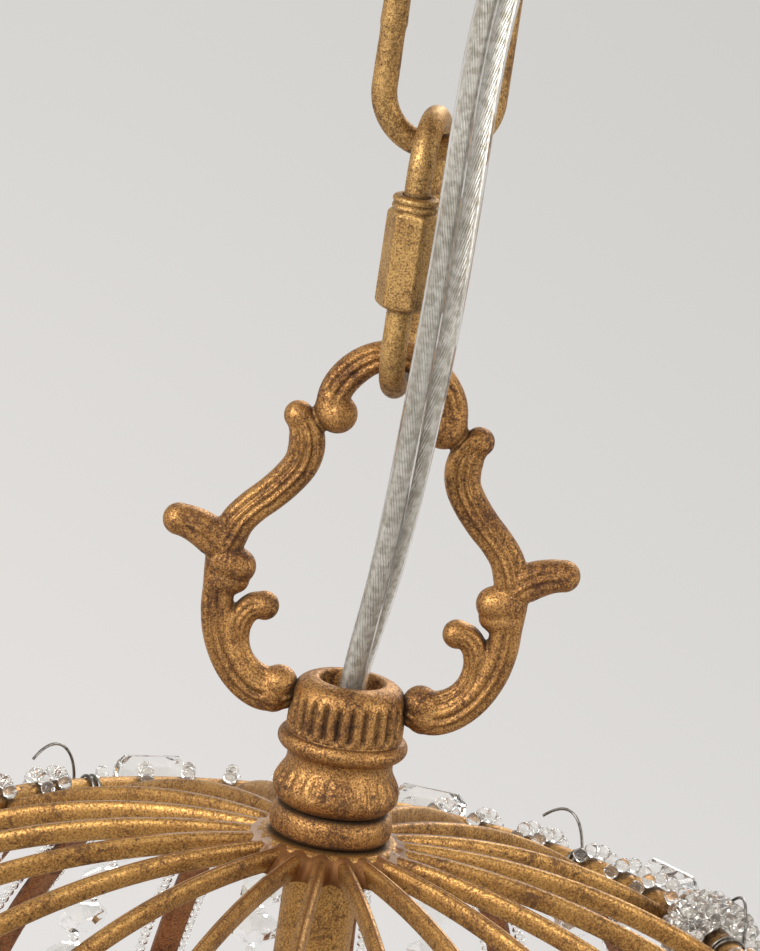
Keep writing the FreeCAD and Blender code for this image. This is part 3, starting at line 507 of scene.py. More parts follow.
limbs = [
    # half of the top bar, thicker towards the knob that curls inwards
    cast_limb([(-2.0, 57.5, 2.5), (1.6, 57.4, 2.5), (4.8, 56.1, 2.7), (7.4, 53.9, 2.85), (9.3, 51.2, 2.85),
               (10.1, 48.6, 2.8), (9.9, 46.6, 2.8)], grooves=(64, 96)),
    cast_limb([(10.3, 48.4, 2.6), (10.1, 46.4, 3.0), (9.2, 45.7, 3.2)]),
    # the S-scroll, broad under its outer knob and slimmer down to the leaf
    cast_limb([(15.4, 44.8, 2.45), (14.7, 43.7, 2.6), (13.8, 41.9, 3.0), (13.4, 39.3, 3.15), (13.9, 36.4, 3.05),
               (15.7, 33.4, 3.0), (18.2, 30.4, 2.95), (20.9, 27.7, 2.9), (23.1, 24.8, 2.95), (24.4, 21.4, 3.1)],
              grooves=(58, 88, 118)),
    # the leaf that points outwards
    cast_limb([(24.9, 18.6, 2.6), (26.1, 20.6, 3.2), (28.4, 22.2, 3.2), (30.9, 23.2, 2.95), (33.0, 23.6, 2.75)],
              grooves=(70, 100), deep=0.5),
    # the C-scroll's outer strand, from the leaf down to the collar
    cast_limb([(25.0, 20.8, 2.7), (25.0, 17.0, 2.75), (24.75, 13.0, 2.75), (24.6, 9.2, 2.75), (23.8, 5.2, 2.75),
               (22.3, 1.6, 2.75), (20.2, -1.4, 2.8), (17.4, -3.7, 2.9), (14.4, -4.6, 3.1), (11.5, -4.0, 3.0)],
              grooves=(60, 94), deep=0.8),
    # its inner strand, which lies along it and ends in the curl
    cast_limb([(12.2, -2.4, 2.4), (14.6, -2.3, 2.35), (17.0, -1.3, 2.25), (19.0, 0.6, 2.15), (20.2, 3.2, 2.1),
               (20.5, 6.0, 2.15), (19.9, 8.6, 2.25), (18.5, 10.3, 2.3), (16.8, 10.7, 2.35)],
              grooves=(48, 78, 108), deep=0.8, flat=1.12),
    # the bud above the curl, two lobes that run together
    cast_limb([(24.6, 17.4, 3.1), (23.2, 17.2, 3.2), (22.2, 17.0, 3.1)]),
    cast_limb([(24.3, 14.2, 2.9), (23.0, 14.3, 2.7), (22.2, 14.6, 2.5)]),
]
knobs = [ball(9.0, 45.9, 3.4), ball(15.5, 44.7, 2.55), ball(33.1, 23.6, 2.8), ball(16.6, 10.7, 2.55),
         ball(22.0, 16.9, 3.1), ball(12.2, -2.5, 3.2), ball(13.0, -4.6, 3.15)]
half_points, half_faces = shells(limbs + knobs)
mirrored = facing_out(half_points * (-1, 1, 1), [face[::-1] for face in half_faces])[0]
both = shells([(half_points, half_faces), (mirrored, [face[::-1] for face in half_faces])])

# The collar: (radius, height) round its outside from the rim down, then up the bore.
collar_line = smooth_line([(6.2, 0.0), (7.6, -0.25), (8.9, -1.1), (9.7, -2.4), (10.0, -3.8), (10.05, -6.0),
                           (10.1, -8.6), (9.95, -9.5), (10.6, -9.8), (11.15, -10.6), (11.15, -11.6), (10.5, -12.5),
                           (9.7, -12.8), (9.25, -13.5), (9.15, -14.6), (9.4, -15.7), (10.1, -16.9), (10.8, -18.4),
                           (10.9, -19.9), (10.4, -21.2), (9.5, -22.1), (9.2, -22.4)], 110)
flute_count, upper_flute, lower_flute = 26, 0.85, 0.42
turns = np.linspace(0, 2 * np.pi, 264, endpoint=False)
trough = (0.5 + 0.5 * np.cos(turns * flute_count)) ** 2.2
upper_flutes = np.clip((collar_line[:, 1] + 9.3) / 0.8, 0, 1) * np.clip((-2.4 - collar_line[:, 1]) / 1.2, 0, 1)
lower_flutes = np.clip((collar_line[:, 1] + 19.9) / 1.4, 0, 1) * np.clip((-15.6 - collar_line[:, 1]) / 1.2, 0, 1)
reach = collar_line[:, :1] - trough * (upper_flute * upper_flutes + lower_flute * lower_flutes)[:, None]
bore_reach = np.array([5.1, 5.1, 5.4, 5.4, 5.75])[:, None] + 0 * turns
bore_height = np.array([-22.4, -12.2, -11.6, -0.5, -0.08])
reach, height = np.vstack([reach, bore_reach]), np.r_[collar_line[:, 1], bore_height]
rings = np.stack([reach * np.cos(turns), reach * np.sin(turns), height[:, None] + 0 * reach], -1)
collar = joined_rings(rings, True)

voxel, clear_of_bore = 0.27 * mm, 6.9 * mm
casting = piece("loop_casting", ((both[0] + (0, 0, rim_z)) * mm, both[1]), coppery_gold)
remesh = casting.modifiers.new("cast_together", "REMESH")
remesh.mode, remesh.voxel_size = "VOXEL", voxel
settle = casting.modifiers.new("settle", "SMOOTH")
settle.factor, settle.iterations = 0.5, 2
cast_mesh = bpy.data.meshes.new_from_object(casting.evaluated_get(bpy.context.evaluated_depsgraph_get()))
cast_points = np.zeros(len(cast_mesh.vertices) * 3)
cast_mesh.vertices.foreach_get("co", cast_points)
cast_points = cast_points.reshape(-1, 3)
# What the casting would put inside the collar's bore is pushed out into its wall.
out = np.hypot(cast_points[:, 0], cast_points[:, 1])
push = np.maximum(out, clear_of_bore) / np.maximum(out, 1e-9)
cast_points[:, :2] *= np.where(cast_points[:, 2] < (rim_z + 1) * mm, push, 1.0)[:, None]
cast_mesh.vertices.foreach_set("co", cast_points.ravel())
casting.modifiers.clear()
casting.data = cast_mesh
cast_mesh.polygons.foreach_set("use_smooth", np.full(len(cast_mesh.polygons), True))
collar_piece = piece("loop_collar", ((collar[0] + (0, 0, rim_z)) * mm, collar[1]), coppery_gold)
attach(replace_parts(casting, "cast_loop"), "fixture")
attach(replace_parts(collar_piece, "cast_loop"), "fixture")


def lathe(profile, count=96, x=0.0, y=0.0, ripple=0.0, lobes=1):
    """A closed outline of (radius, height) pairs turned about an upright axis at x, y. Ripple draws the radius in
    by that much, lobes times round."""
    profile = np.asarray(profile, float)
    angle = np.linspace(0, 2 * np.pi, count, endpoint=False)
    reach = profile[:, :1] - np.asarray(ripple).reshape(-1, 1) * (0.5 + 0.5 * np.cos(lobes * angle))
    rings = np.stack([x + reach * np.cos(angle), y + reach * np.sin(angle), profile[:, 1:] + 0 * reach], -1)
    return joined_rings(rings, True)


ring_line = smooth_line([(9.0, 2.6), (9.7, 2.35), (10.4, 1.5), (10.6, 0.0), (10.4, -1.5), (9.8, -2.3), (9.0, -2.6)], 30)
ring_line = np.vstack([ring_line, [(5.05, -2.6), (5.05, 2.6)]]) + (0, -206.0)
surface, faces = lathe(ring_line)
lock_ring = piece("collar_lock_ring", (surface * mm, faces), coppery_gold)
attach(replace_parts(lock_ring, "collar_ring"), "fixture")

# ---- The crown: hub, ribs and ring ------------------------------------------------------------
# Twenty flat steel ribs are welded by one end to a turned hub and by the other to a round ring. The welds at
# the hub are filled with pinkish putty and left rough. Ribs and ring are leafed, and rubbed bare along the top.
leaf_gold = leafed_metal("leaf_gold", (204, 158, 92), (148, 106, 60), (100, 68, 44), bare=0.7, grain=0.85)
ribs, rib_turn, ring_reach, ring_z, ring_wire = 20, -93.0, 76.0, -227.0, 5.5
rib_spacing = 360.0 / ribs
rib_bearings = rib_turn + rib_spacing * np.arange(ribs)


def arch(first, middle, last, rows):
    """Evenly spaced (radius, height) points on the circle through three points."""
    (ax, az), (bx, bz), (cx, cz) = first, middle, last
    d = 2 * (ax * (bz - cz) + bx * (cz - az) + cx * (az - bz))
    a, b, c = ax**2 + az**2, bx**2 + bz**2, cx**2 + cz**2
    mx, mz = (a * (bz - cz) + b * (cz - az) + c * (az - bz)) / d, (a * (cx - bx) + b * (ax - cx) + c * (bx - ax)) / d
    start, end = np.arctan2(az - mz, ax - mx), np.arctan2(cz - mz, cx - mx)
    sweep = (end - start + np.pi) % (2 * np.pi) - np.pi
    angle = start + sweep * np.linspace(0, 1, rows)
    reach = np.hypot(ax - mx, az - mz)
    return np.stack([mx + reach * np.cos(angle), mz + reach * np.sin(angle)], -1)


def bow(first, last, bulge, rows):
    """An arch between two (radius, height) points that bows outwards by bulge at its middle."""
    first, last = np.asarray(first, float), np.asarray(last, float)
    run, fall = last - first
    length = np.hypot(run, fall)
    return arch(first, (first + last) / 2 + np.array((-fall, run)) * bulge / length, last, rows)


def flat_bar(line, wide, deep, soft=0.55, count=20):
    """A bar of rounded oblong section along (radius, height) points, lying towards +X: wide across, deep in its
    own plane. The section is a squared circle whose corners are as round as soft says."""
    angle = np.linspace(0, 2 * np.pi, count, endpoint=False) + np.pi / count
    outline = np.stack([np.sign(np.cos(angle)) * np.abs(np.cos(angle)) ** soft * deep / 2,
                        np.sign(np.sin(angle)) * np.abs(np.sin(angle)) ** soft * wide / 2], -1)[None]
    path = np.stack([line[:, 0], 0 * line[:, 0], line[:, 1]], -1)
    return joined_rings(carried(path, outline, (0, 1, 0)))


def copies(surface, places, frames=None):
    """A surface repeated at every place: its points are turned by each frame's three rows, then moved there."""
    points, faces = surface
    places = np.asarray(places, float).reshape(-1, 3)
    turned = points[None] if frames is None else np.einsum("pk,nkc->npc", points, frames)
    every = (turned + places[:, None]).reshape(-1, 3)
    shift = (np.arange(len(places)) * len(points)).tolist()
    return every, [[corner + start for corner in face] for start in shift for face in faces]


def round_about(surface, bearings):
    """A surface that lies towards +X, repeated at each bearing about the Z axis."""
    a = np.radians(np.asarray(bearings, float))
    frames = np.stack([np.stack([np.cos(a), np.sin(a), 0 * a], -1), np.stack([-np.sin(a), np.cos(a), 0 * a], -1),
                       np.stack([0 * a, 0 * a, 1 + 0 * a], -1)], 1)
    return copies(surface, np.zeros((len(a), 3)), frames)


def rib_height(reach):
    return -211.0 - 16.0 * ((reach - 12.5) / 63.5) ** 1.75


rib_line = arch((12.7, rib_height(12.7)), (42.8, rib_height(42.8)), (72.9, rib_height(72.9) - 1.9), 40)
surface, faces = round_about(flat_bar(rib_line, 2.4, 3.75, 0.78), rib_bearings)
crown_ribs = piece("crown_ribs", (surface * mm, faces), leaf_gold)
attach(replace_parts(crown_ribs, "dome_ribs"), "fixture")

surface, faces = lathe([(ring_reach + ring_wire / 2 * cos(a), ring_z + ring_wire / 2 * sin(a))
                        for a in np.linspace(0, 2 * np.pi, 20, endpoint=False)], 300)
ring = piece("crown_ring_rod", (surface * mm, faces), leaf_gold)
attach(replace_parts(ring, "crown_ring"), "fixture")

hub_line = smooth_line([(5.1, -208.62), (10.6, -208.62), (11.9, -208.9), (12.45, -209.8), (12.5, -212.0),
                        (12.2, -213.4), (11.0, -213.8), (5.1, -213.8)], 40)
surface, faces = lathe(hub_line)
hub = piece("crown_hub", (surface * mm, faces), leaf_gold)
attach(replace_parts(hub, "hub_disc"), "fixture")


def weld_putty():
    """Pinkish-grey putty over the welds, with bronze paint rubbed into it and small pits."""
    material, shader, look, place = new_material("weld_putty")
    smear = look.node("TexNoise", inputs={"Vector": place, "Scale": 260.0, "Detail": 6.0, "Roughness": 0.7})
    pit = look.node("TexNoise", inputs={"Vector": place, "Scale": 1300.0, "Detail": 2.0})
    front = look.node("SeparateXYZ", inputs={0: place}, out=1).between(-6 * mm, -11 * mm)
    bronze = (smear + 0.35 * front).between(0.50, 0.68)
    colour = bronze.mix(linear(168, 142, 120), linear(134, 92, 54))
    colour = (pit.between(0.62, 0.72) * 0.7).mix(colour, linear(74, 52, 38))
    feed(look, shader, {
        "Base Color": colour, "Metallic": bronze * 0.8, "Roughness": 0.55 + 0.2 * smear,
        "Normal": look.node("Bump", inputs={"Strength": 0.6, "Distance": 0.3 * mm, "Height": smear + 0.4 * pit})})
    return material


putty_paint = weld_putty()
seam_line = np.stack([rib_line[:, 0], rib_line[:, 1] + 1.72], -1)
surface, faces = round_about(flat_bar(seam_line, 0.62, 0.5, 1.0, 8), rib_bearings)
seams = piece("rib_top_seams", (surface * mm, faces), putty_paint)
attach(seams, "fixture")

# A low collar of putty round the hub, highest between the ribs' ends, its edge wandering in and out.
along = np.linspace(0, 1, 26)[:, None]
turns = np.linspace(0, 2 * np.pi, 360, endpoint=False)[None, :]
wander = np.sin(3 * turns + 1) * 0.5 + np.sin(7 * turns + 2) * 0.4 + np.sin(13 * turns + 4) * 0.3
phase = ribs * (turns - radians(rib_turn))
reach = 11.2 + (4.6 + 0.6 * wander + 0.9 * np.cos(phase)) * along
crest = -208.75 - 0.9 * along + 0.22 * np.sin(5 * turns + 9 * along) * along - 3.0 * along**2.5
top = crest + 0.35 * np.cos(phase) * np.sin(np.pi * along)
low = -213.6 + 0.6 * along
reach = np.vstack([reach, reach[::-1]])
height = np.vstack([top, np.minimum(low, top - 0.2)[::-1] + 0 * top])
rings = np.stack([reach * np.cos(turns), reach * np.sin(turns), height], -1)
surface, faces = joined_rings(rings, True)
putty = piece("weld_putty_collar", (surface * mm, faces), putty_paint)
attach(putty, "fixture")

# ---- Glass beads on the crown ring ------------------------------------------------------------
# Clear seed beads threaded on thin wire. Strings of them are wound round the ring between the balls, and a ball
# is a string wound over itself in two layers. Round the back, four of the balls are only a turn or two of beads.


def bead_glass(name, tint, haze, cloud_scale, bend=1.5):
    """Clear glass whose tint and polish change a little from one part to the next."""
    material, shader, look, place = new_material(name)
    cloud = look.node("TexNoise", inputs={"Vector": place, "Scale": cloud_scale, "Detail": 3.0})
    feed(look, shader, {
        "Base Color": cloud.between(0.3, 0.7).mix(linear(255, 254, 252), linear(*tint)),
        "Roughness": haze * cloud.between(0.25, 0.85), "IOR": bend, "Transmission Weight": 0.94})
    return material


seed_glass = bead_glass("seed_bead_glass", (246, 243, 238), 0.10, 500.0, 1.38)
dice = np.random.default_rng(7)


def seed_bead(radius, half, count=9):
    """A bead along X: rings at seven stations, the outer ones drawn in to the hole."""
    reach = radius * np.array([0.42, 0.82, 0.99, 1.0, 0.99, 0.82, 0.42])
    spot = half * np.array([-1.0, -0.86, -0.45, 0.0, 0.45, 0.86, 1.0])
    angle = np.linspace(0, 2 * np.pi, count, endpoint=False)
    return joined_rings(np.stack([spot[:, None] + 0 * reach[:, None] * angle, reach[:, None] * np.cos(angle),
                                  reach[:, None] * np.sin(angle)], -1))


def wound_beads(bearing, reach, around, lift):
    """Places and frames of beads on the ring: bearing about Z, reach from the ring's middle line, around the
    ring's section from its outside over its top. A bead's hole points along the winding."""
    b, a = np.radians(bearing), np.radians(around)
    out = np.stack([np.cos(b), np.sin(b), 0 * b], -1)
    side = np.stack([-np.sin(b), np.cos(b), 0 * b], -1)
    z = np.array((0.0, 0.0, 1.0))
    away = np.cos(a)[:, None] * out + np.sin(a)[:, None] * z
    place = ring_reach * out + reach[:, None] * away + (0, 0, ring_z)
    hole = -np.sin(a)[:, None] * out + np.cos(a)[:, None] * z + lift * side
    hole = hole / np.linalg.norm(hole, axis=1, keepdims=True)
    side = np.cross(hole, away)
    side = side / np.linalg.norm(side, axis=1, keepdims=True)
    return place, np.stack([hole, side, np.cross(hole, side)], 1)


def clear_of_ribs(bearing, reach, around):
    """True where a bead stays off the ribs inside the ring and off the bars and strings below it."""
    from_rib = np.abs((bearing - rib_turn + rib_spacing / 2) % rib_spacing - rib_spacing / 2)
    apart = np.radians(from_rib) * (ring_reach + reach * np.cos(np.radians(around)))
    return (around > -38) & (around < 218) & ((apart > 2.5) | (around < 132))


bead_radius, bead_half, bead_pitch = 1.3, 1.12, 2.4
knot_spacing = 2 * rib_spacing
every_knot = knot_spacing * np.arange(ribs // 2)
knot_bearings = rib_turn + rib_spacing / 2 + every_knot
wound_small = (knot_bearings > 40) & (knot_bearings < 180)          # the four round the back


def wound_string(start, sweep, turn_count, first):
    """One string of beads wound turn_count times round the ring over a sweep of bearings, from the angle first."""
    reach = ring_wire / 2 + 0.12 + bead_radius
    beads = int(np.hypot(turn_count * 2 * np.pi * reach, radians(sweep) * (ring_reach + 2)) / bead_pitch)
    at = (np.arange(beads) + 0.5) / beads
    around = (first + at * turn_count * 360.0) % 360.0
    around = np.where(around > 270, around - 360, around)
    bearing = start + sweep * at + dice.normal(0, 0.08, beads)
    keep = clear_of_ribs(bearing, reach, around)
    pitch = radians(sweep) * (ring_reach + 2) / (turn_count * 2 * np.pi * reach)
    return wound_beads(bearing[keep], reach + dice.uniform(0, 0.15, keep.sum()), around[keep], pitch)


wrap_sweeps, turn_sweep = (14, 20, 16, 22), 6.2
strings = []
for number, start in enumerate(knot_bearings + 6.5):
    sweep = wrap_sweeps[number % len(wrap_sweeps)]
    strings.append(wound_string(start, sweep, sweep / turn_sweep, 250.0 + 4 * sweep))
for middle in knot_bearings[wound_small]:
    strings.append(wound_string(middle - 2.6, 5.2, 1.6, 300.0))
surface, faces = copies(seed_bead(bead_radius, bead_half), np.concatenate([s[0] for s in strings]),
                        np.concatenate([s[1] for s in strings]))
wraps = piece("seed_bead_wraps", (surface * mm, faces), seed_glass)
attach(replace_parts(wraps, "bead_wraps"), "fixture")

knot_places, knot_frames = [], []
for middle in knot_bearings[~wound_small]:
    for layer_reach, layer_half in ((3.1, 6.0), (0.9, 3.8)):
        rows = int(2 * layer_half / 2.3) + 1
        for offset in np.linspace(-layer_half, layer_half, rows):
            reach = ring_wire / 2 + bead_radius + 0.1 + layer_reach * np.sqrt(1 - (offset / (layer_half + 1.1)) ** 2)
            reach = min(reach, 6.75)
            beads = int(2 * np.pi * reach / bead_pitch)
            around = (np.arange(beads) + dice.uniform()) * 360.0 / beads
            around = np.where(around > 270, around - 360, around)
            slant = 0.9 * np.sin(np.radians(around) + middle)
            bearing = middle + np.degrees((offset + slant * 0.5 + dice.normal(0, 0.12, beads)) / (ring_reach + 2))
            keep = clear_of_ribs(bearing, np.full(beads, reach), around)
            place, frames = wound_beads(bearing[keep], reach - dice.uniform(0, 0.3, keep.sum()), around[keep], 0.12)
            knot_places.append(place)
            knot_frames.append(frames)
surface, faces = copies(seed_bead(bead_radius, bead_half), np.concatenate(knot_places), np.concatenate(knot_frames))
knots = piece("seed_bead_balls", (surface * mm, faces), seed_glass)
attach(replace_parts(knots, "bead_knots"), "fixture")

# ---- Crystals on the crown ring, and the wires that tie them ----------------------------------
# Long bevelled prisms lie along the ring's outside, and thin steel wires are twisted round the ring beside them
# with their tails left standing.
cut_crystal = bead_glass("cut_crystal", (248, 246, 243), 0.02, 60.0, 1.45)


def cut_stone(outline, depth, steps):
    """A cut stone that faces +X: its outline, as points across and up, is drawn in and moved forwards by each step's
    two shares, so every step adds a ring of flat facets."""
    rings = [np.hstack([np.full((len(outline), 1), depth * forward), outline * share]) for forward, share in steps]
    return joined_rings(np.array(rings))


prism_outline = np.array([(-5.3, 3.5), (5.3, 3.5), (7.0, 1.8), (7.0, -1.8), (5.3, -3.5), (-5.3, -3.5), (-7.0, -1.8),
                          (-7.0, 1.8)])
stone = cut_stone(prism_outline, 4.5, ((0.0, 0.62), (0.42, 1.0), (0.58, 1.0), (0.86, 0.76), (1.0, 0.58)))
stone = (stone[0] + (81.45, 0, ring_z + 0.7), stone[1])
surface, faces = round_about(stone, rib_turn + 1.5 * rib_spacing + every_knot)
prisms = piece("bevelled_prisms", (surface * mm, faces), cut_crystal, smooth=False)
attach(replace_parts(prisms, "crown_prisms"), "fixture")


def drawn_steel():
    """Bright steel wire, faintly streaked, with dull spots."""
    material, shader, look, place = new_material("drawn_steel")
    spots = look.node("TexNoise", inputs={"Vector": place, "Scale": 900.0, "Detail": 4.0})
    feed(look, shader, {"Base Color": spots.between(0.35, 0.7).mix(linear(150, 146, 140), linear(96, 90, 84)),
                        "Metallic": 1.0, "Roughness": 0.22 + 0.3 * spots})
    return material


steel = drawn_steel()
tie_radius, tie_turns, tie_width = 0.28, 1.9, 2.4
turn = np.linspace(0, 1, 90)
angle = 2 * np.pi * tie_turns * turn + 0.6
coil_reach = ring_wire / 2 + tie_radius + 0.14
coil = np.stack([ring_reach + coil_reach * np.cos(angle), tie_width * (turn - 0.5),
                 ring_z + coil_reach * np.sin(angle)], -1)
curl = np.linspace(0, 1, 70)[1:, None]
leave = coil[-1]
tail = leave + np.hstack([1.6 * np.sin(2.6 * curl) * curl - 1.2 * curl, 10.5 * np.sin(1.15 * curl) * curl,
                          8.6 * np.sin(2.35 * curl)])
wire = np.vstack([coil, tail])
wire = joined_rings(carried(wire, ellipse(np.full(len(wire), tie_radius), 8), (0.87, 0.30, 0.40)))
surface, faces = round_about(wire, rib_turn + 2.6 + every_knot)
ties = piece("tie_wire_coils", (surface * mm, faces), steel)
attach(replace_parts(ties, "tie_wires"), "fixture")

# ---- The basket -------------------------------------------------------------------------------
# Flat bars flare from under the ring to a wide band. Cut octagons sit round the band, strings of larger octagons
# hang between the bars, and strings of faceted beads run from the band in to the cup at the bottom.
band_reach, band_top, band_low = 130.0, -315.0, -327.0
brown_gold = leafed_metal("brown_gold", (166, 108, 60), (124, 76, 46), (92, 54, 38), bare=0.7, grain=0.8)
bar_line = bow((ring_reach, -230.85), (126.65, -326.0), 9.0, 36)
surface, faces = round_about(flat_bar(bar_line, 4.9, 2.3, 0.5), rib_bearings)
bars = piece("flared_flat_bars", (surface * mm, faces), brown_gold)
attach(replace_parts(bars, "flared_bars"), "fixture")

# The band's outline stands two thin beads proud along its edges: (how far inside its reach, height).
band_line = [(0.0, band_top - 0.5), (0.0, band_top - 2.0), (0.25, band_top - 2.3), (0.25, band_low + 2.3),
             (0.0, band_low + 2.0), (0.0, band_low + 0.5), (0.4, band_low), (1.6, band_low), (1.95, band_low + 0.5),
             (1.95, band_top - 0.5), (1.6, band_top), (0.4, band_top)]
surface, faces = lathe([(band_reach - inside, height) for inside, height in band_line], 300)
band = piece("wide_band", (surface * mm, faces), leaf_gold)
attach(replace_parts(band, "body_band"), "fixture")

octagon_turn = np.radians(22.5 + 45.0 * np.arange(8))
octagon = np.stack([np.cos(octagon_turn), np.sin(octagon_turn)], -1)
stone_steps = ((0.0, 0.40), (0.40, 0.98), (0.52, 1.0), (0.62, 0.98), (0.88, 0.72), (1.0, 0.50))
stone = cut_stone(octagon * 7.95, 4.5, stone_steps)
stone = (stone[0] + (band_reach + 0.3, 0, (band_top + band_low) / 2), stone[1])
surface, faces = round_about(stone, rib_turn + rib_spacing / 2 * np.arange(2 * ribs))
octagons = piece("band_crystals", (surface * mm, faces), cut_crystal, smooth=False)
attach(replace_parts(octagons, "band_octagons"), "fixture")


def along_bow(line, spots):
    """Places and frames at distances along (radius, height) points: a frame's rows point outwards, to the side and
    along the line."""
    run = np.r_[0, np.cumsum(np.hypot(*np.diff(line, axis=0).T))]
    r, z = np.interp(spots, run, line[:, 0]), np.interp(spots, run, line[:, 1])
    dr, dz = (np.interp(spots, run, np.gradient(line[:, i], run)) for i in (0, 1))
    size = np.hypot(dr, dz)
    dr, dz, o = dr / size, dz / size, 0 * r
    frames = np.stack([np.stack([-dz, o, dr], -1), np.stack([o, 1 + o, o], -1), np.stack([dr, o, dz], -1)], 1)
    return np.stack([r, o, z], -1), frames


def faceted_bead(radius, half, count=8):
    """A round bead cut in flat facets, its hole upright: six rings, turned by half a facet one after the other."""
    reach = radius * np.array([0.30, 0.76, 1.0, 1.0, 0.76, 0.30])
    height = half * np.array([-1.0, -0.72, -0.22, 0.22, 0.72, 1.0])
    angle = np.linspace(0, 2 * np.pi, count, endpoint=False) + np.pi / count * (np.arange(6) % 2)[:, None]
    return joined_rings(np.stack([reach[:, None] * np.cos(angle), reach[:, None] * np.sin(angle),
                                  height[:, None] + 0 * angle], -1))


edge_line = bow((ring_reach + 0.2, -231.6), (126.4, -314.0), 8.6, 200)
edge_length = np.hypot(*np.diff(edge_line, axis=0).T).sum()
places, frames = along_bow(edge_line, np.arange(1.6, edge_length, 2.3))
edges = [copies(faceted_bead(1.05, 1.0, 7), places + (0, side * 3.75, 0), frames) for side in (-1, 1)]
surface, faces = round_about(shells(edges), rib_bearings)
edging = piece("seed_bead_edging", (surface * mm, faces), seed_glass)
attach(edging, "fixture")

string_line = bow((77.6, -230.65), (125.1, -313.0), 9.0, 200)
string_length = np.hypot(*np.diff(string_line, axis=0).T).sum()
stones = 8
unit = string_length / stones
stone = cut_stone(octagon * 4.7, 4.4, stone_steps)
stone = (stone[0] - (2.2, 0, 0), stone[1])
stone_places, stone_frames = along_bow(string_line, unit * (np.arange(stones) + 0.5))
bead_places, bead_frames = along_bow(string_line, unit * np.arange(1, stones))
one_string = shells([copies(stone, stone_places, stone_frames),
                     copies(faceted_bead(1.0, 0.9, 6), bead_places, bead_frames)])
surface, faces = round_about(one_string, rib_bearings + rib_spacing / 2)
upper = piece("octagon_strings", (surface * mm, faces), cut_crystal, smooth=False)
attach(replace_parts(upper, "upper_strands"), "fixture")

string_line = bow((127.5, -327.3), (20.0, -416.0), 22.0, 300)
string_length = np.hypot(*np.diff(string_line, axis=0).T).sum()
bead_total = int(string_length / 5.05)
places, frames = along_bow(string_line, string_length * (np.arange(bead_total) + 0.5) / bead_total)
surface, faces = round_about(copies(faceted_bead(2.45, 2.4), places, frames), rib_bearings)
lower = piece("basket_strings", (surface * mm, faces), cut_crystal, smooth=False)
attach(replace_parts(lower, "lower_strands"), "fixture")

# ---- Stem, lamp hub and arms ------------------------------------------------------------------
# A leafed tube stands under the crown, over the threaded tube that the collar screws on. It carries a turned cup,
# where the wires are joined, with three bent tube arms that end in pressed drip pans.


def wear(names, material):
    """Puts a finish on pieces that keep the shape they were drawn with."""
    for name in names:
        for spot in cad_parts[name].material_slots:
            spot.material = material


stem_line = [(6.5, -213.8), (6.5, -378.0), (7.3, -378.6), (7.6, -379.6), (7.3, -380.6), (6.5, -381.2), (6.5, -382.6),
             (5.1, -382.6), (5.1, -213.8)]
surface, faces = lathe(stem_line, 64)
stem = piece("stem_tube_leafed", (surface * mm, faces), leaf_gold)
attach(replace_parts(stem, "stem_tube"), "fixture")
wear(("lamp_hub", "lamp_hub_lid", "lamp_arms", "stem_nipple", "finial_rod"), leaf_gold)

lamp_reach, lamp_bearings = 45.0, (90.0, 210.0, 330.0)
pan_line = smooth_line([(2.2, -382.0), (11.0, -382.0), (13.2, -381.6), (14.9, -380.3), (15.7, -378.6), (16.0, -377.5),
                        (15.3, -377.45), (14.8, -378.2), (13.9, -378.75), (12.4, -379.0), (2.2, -379.0)], 90)
edge = np.clip((pan_line[:, 0] - 12.2) / 3.0, 0, 1) * 0.5
surface, faces = round_about(lathe(pan_line, 96, lamp_reach, 0.0, edge, 16), lamp_bearings)
pans = piece("scalloped_drip_pans", (surface * mm, faces), leaf_gold)
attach(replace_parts(pans, "drip_pans"), "fixture")


def moulded(name, fresh, aged, rough, metal=0.0, scale=220.0, bump=0.15):
    """A moulded or plated surface: two near shades in soft clouds, fine grain in its polish."""
    material, shader, look, place = new_material(name)
    cloud = look.node("TexNoise", inputs={"Vector": place, "Scale": scale * 0.3, "Detail": 4.0})
    grain = look.node("TexNoise", inputs={"Vector": place, "Scale": scale * 8, "Detail": 3.0})
    feed(look, shader, {
        "Base Color": cloud.between(0.3, 0.7).mix(linear(*fresh), linear(*aged)), "Metallic": metal,
        "Roughness": rough + 0.14 * grain,
        "Normal": look.node("Bump", inputs={"Strength": bump, "Distance": 0.08 * mm, "Height": grain})})
    return material


# ---- Candle sleeves, lampholders and bulbs ----------------------------------------------------
# An ivory tube with run wax down its sides covers each white lampholder. The bulb is a clear candle shape on a
# plated screw cap, with a wire filament held on two leads and a glass stem.
wax = moulded("candle_ivory", (240, 229, 203), (231, 215, 182), 0.42)
turns = np.linspace(0, 2 * np.pi, 96, endpoint=False)
candle_foot, candle_top = -379.0, -325.0
heights = np.linspace(candle_foot, candle_top, 60)[:, None]
runs = np.zeros((60, 96))
for bearing, foot, thick in ((0.4, -352.0, 0.30), (1.3, -340.0, 0.22), (2.2, -362.0, 0.32), (3.3, -345.0, 0.26),
                             (4.1, -334.0, 0.2), (5.2, -356.0, 0.3)):
    apart = np.abs(np.angle(np.exp(1j * (turns - bearing))))[None, :]
    drop = 1 / (1 + np.exp(-(heights - foot) / 0.8)) + 0.7 * np.exp(-(((heights - foot - 1.5) / 1.8) ** 2))
    runs = np.maximum(runs, thick * np.exp(-((apart / 0.17) ** 2)) * np.clip(drop, 0, 1.5))
outer = 10.55 + np.minimum(runs, 0.43)
rings = np.vstack([outer, np.full((2, 96), 10.2)])
levels = np.r_[heights[:, 0], candle_top, candle_foot][:, None]
sleeve = np.stack([lamp_reach + rings * np.cos(turns), rings * np.sin(turns), levels + 0 * rings], -1)
surface, faces = round_about(joined_rings(sleeve, True), lamp_bearings)
candles = piece("run_wax_sleeves", (surface * mm, faces), wax)
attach(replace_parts(candles, "candle_sleeves"), "fixture")
wear(("lampholders",), moulded("holder_white", (232, 230, 224), (221, 217, 208), 0.32))

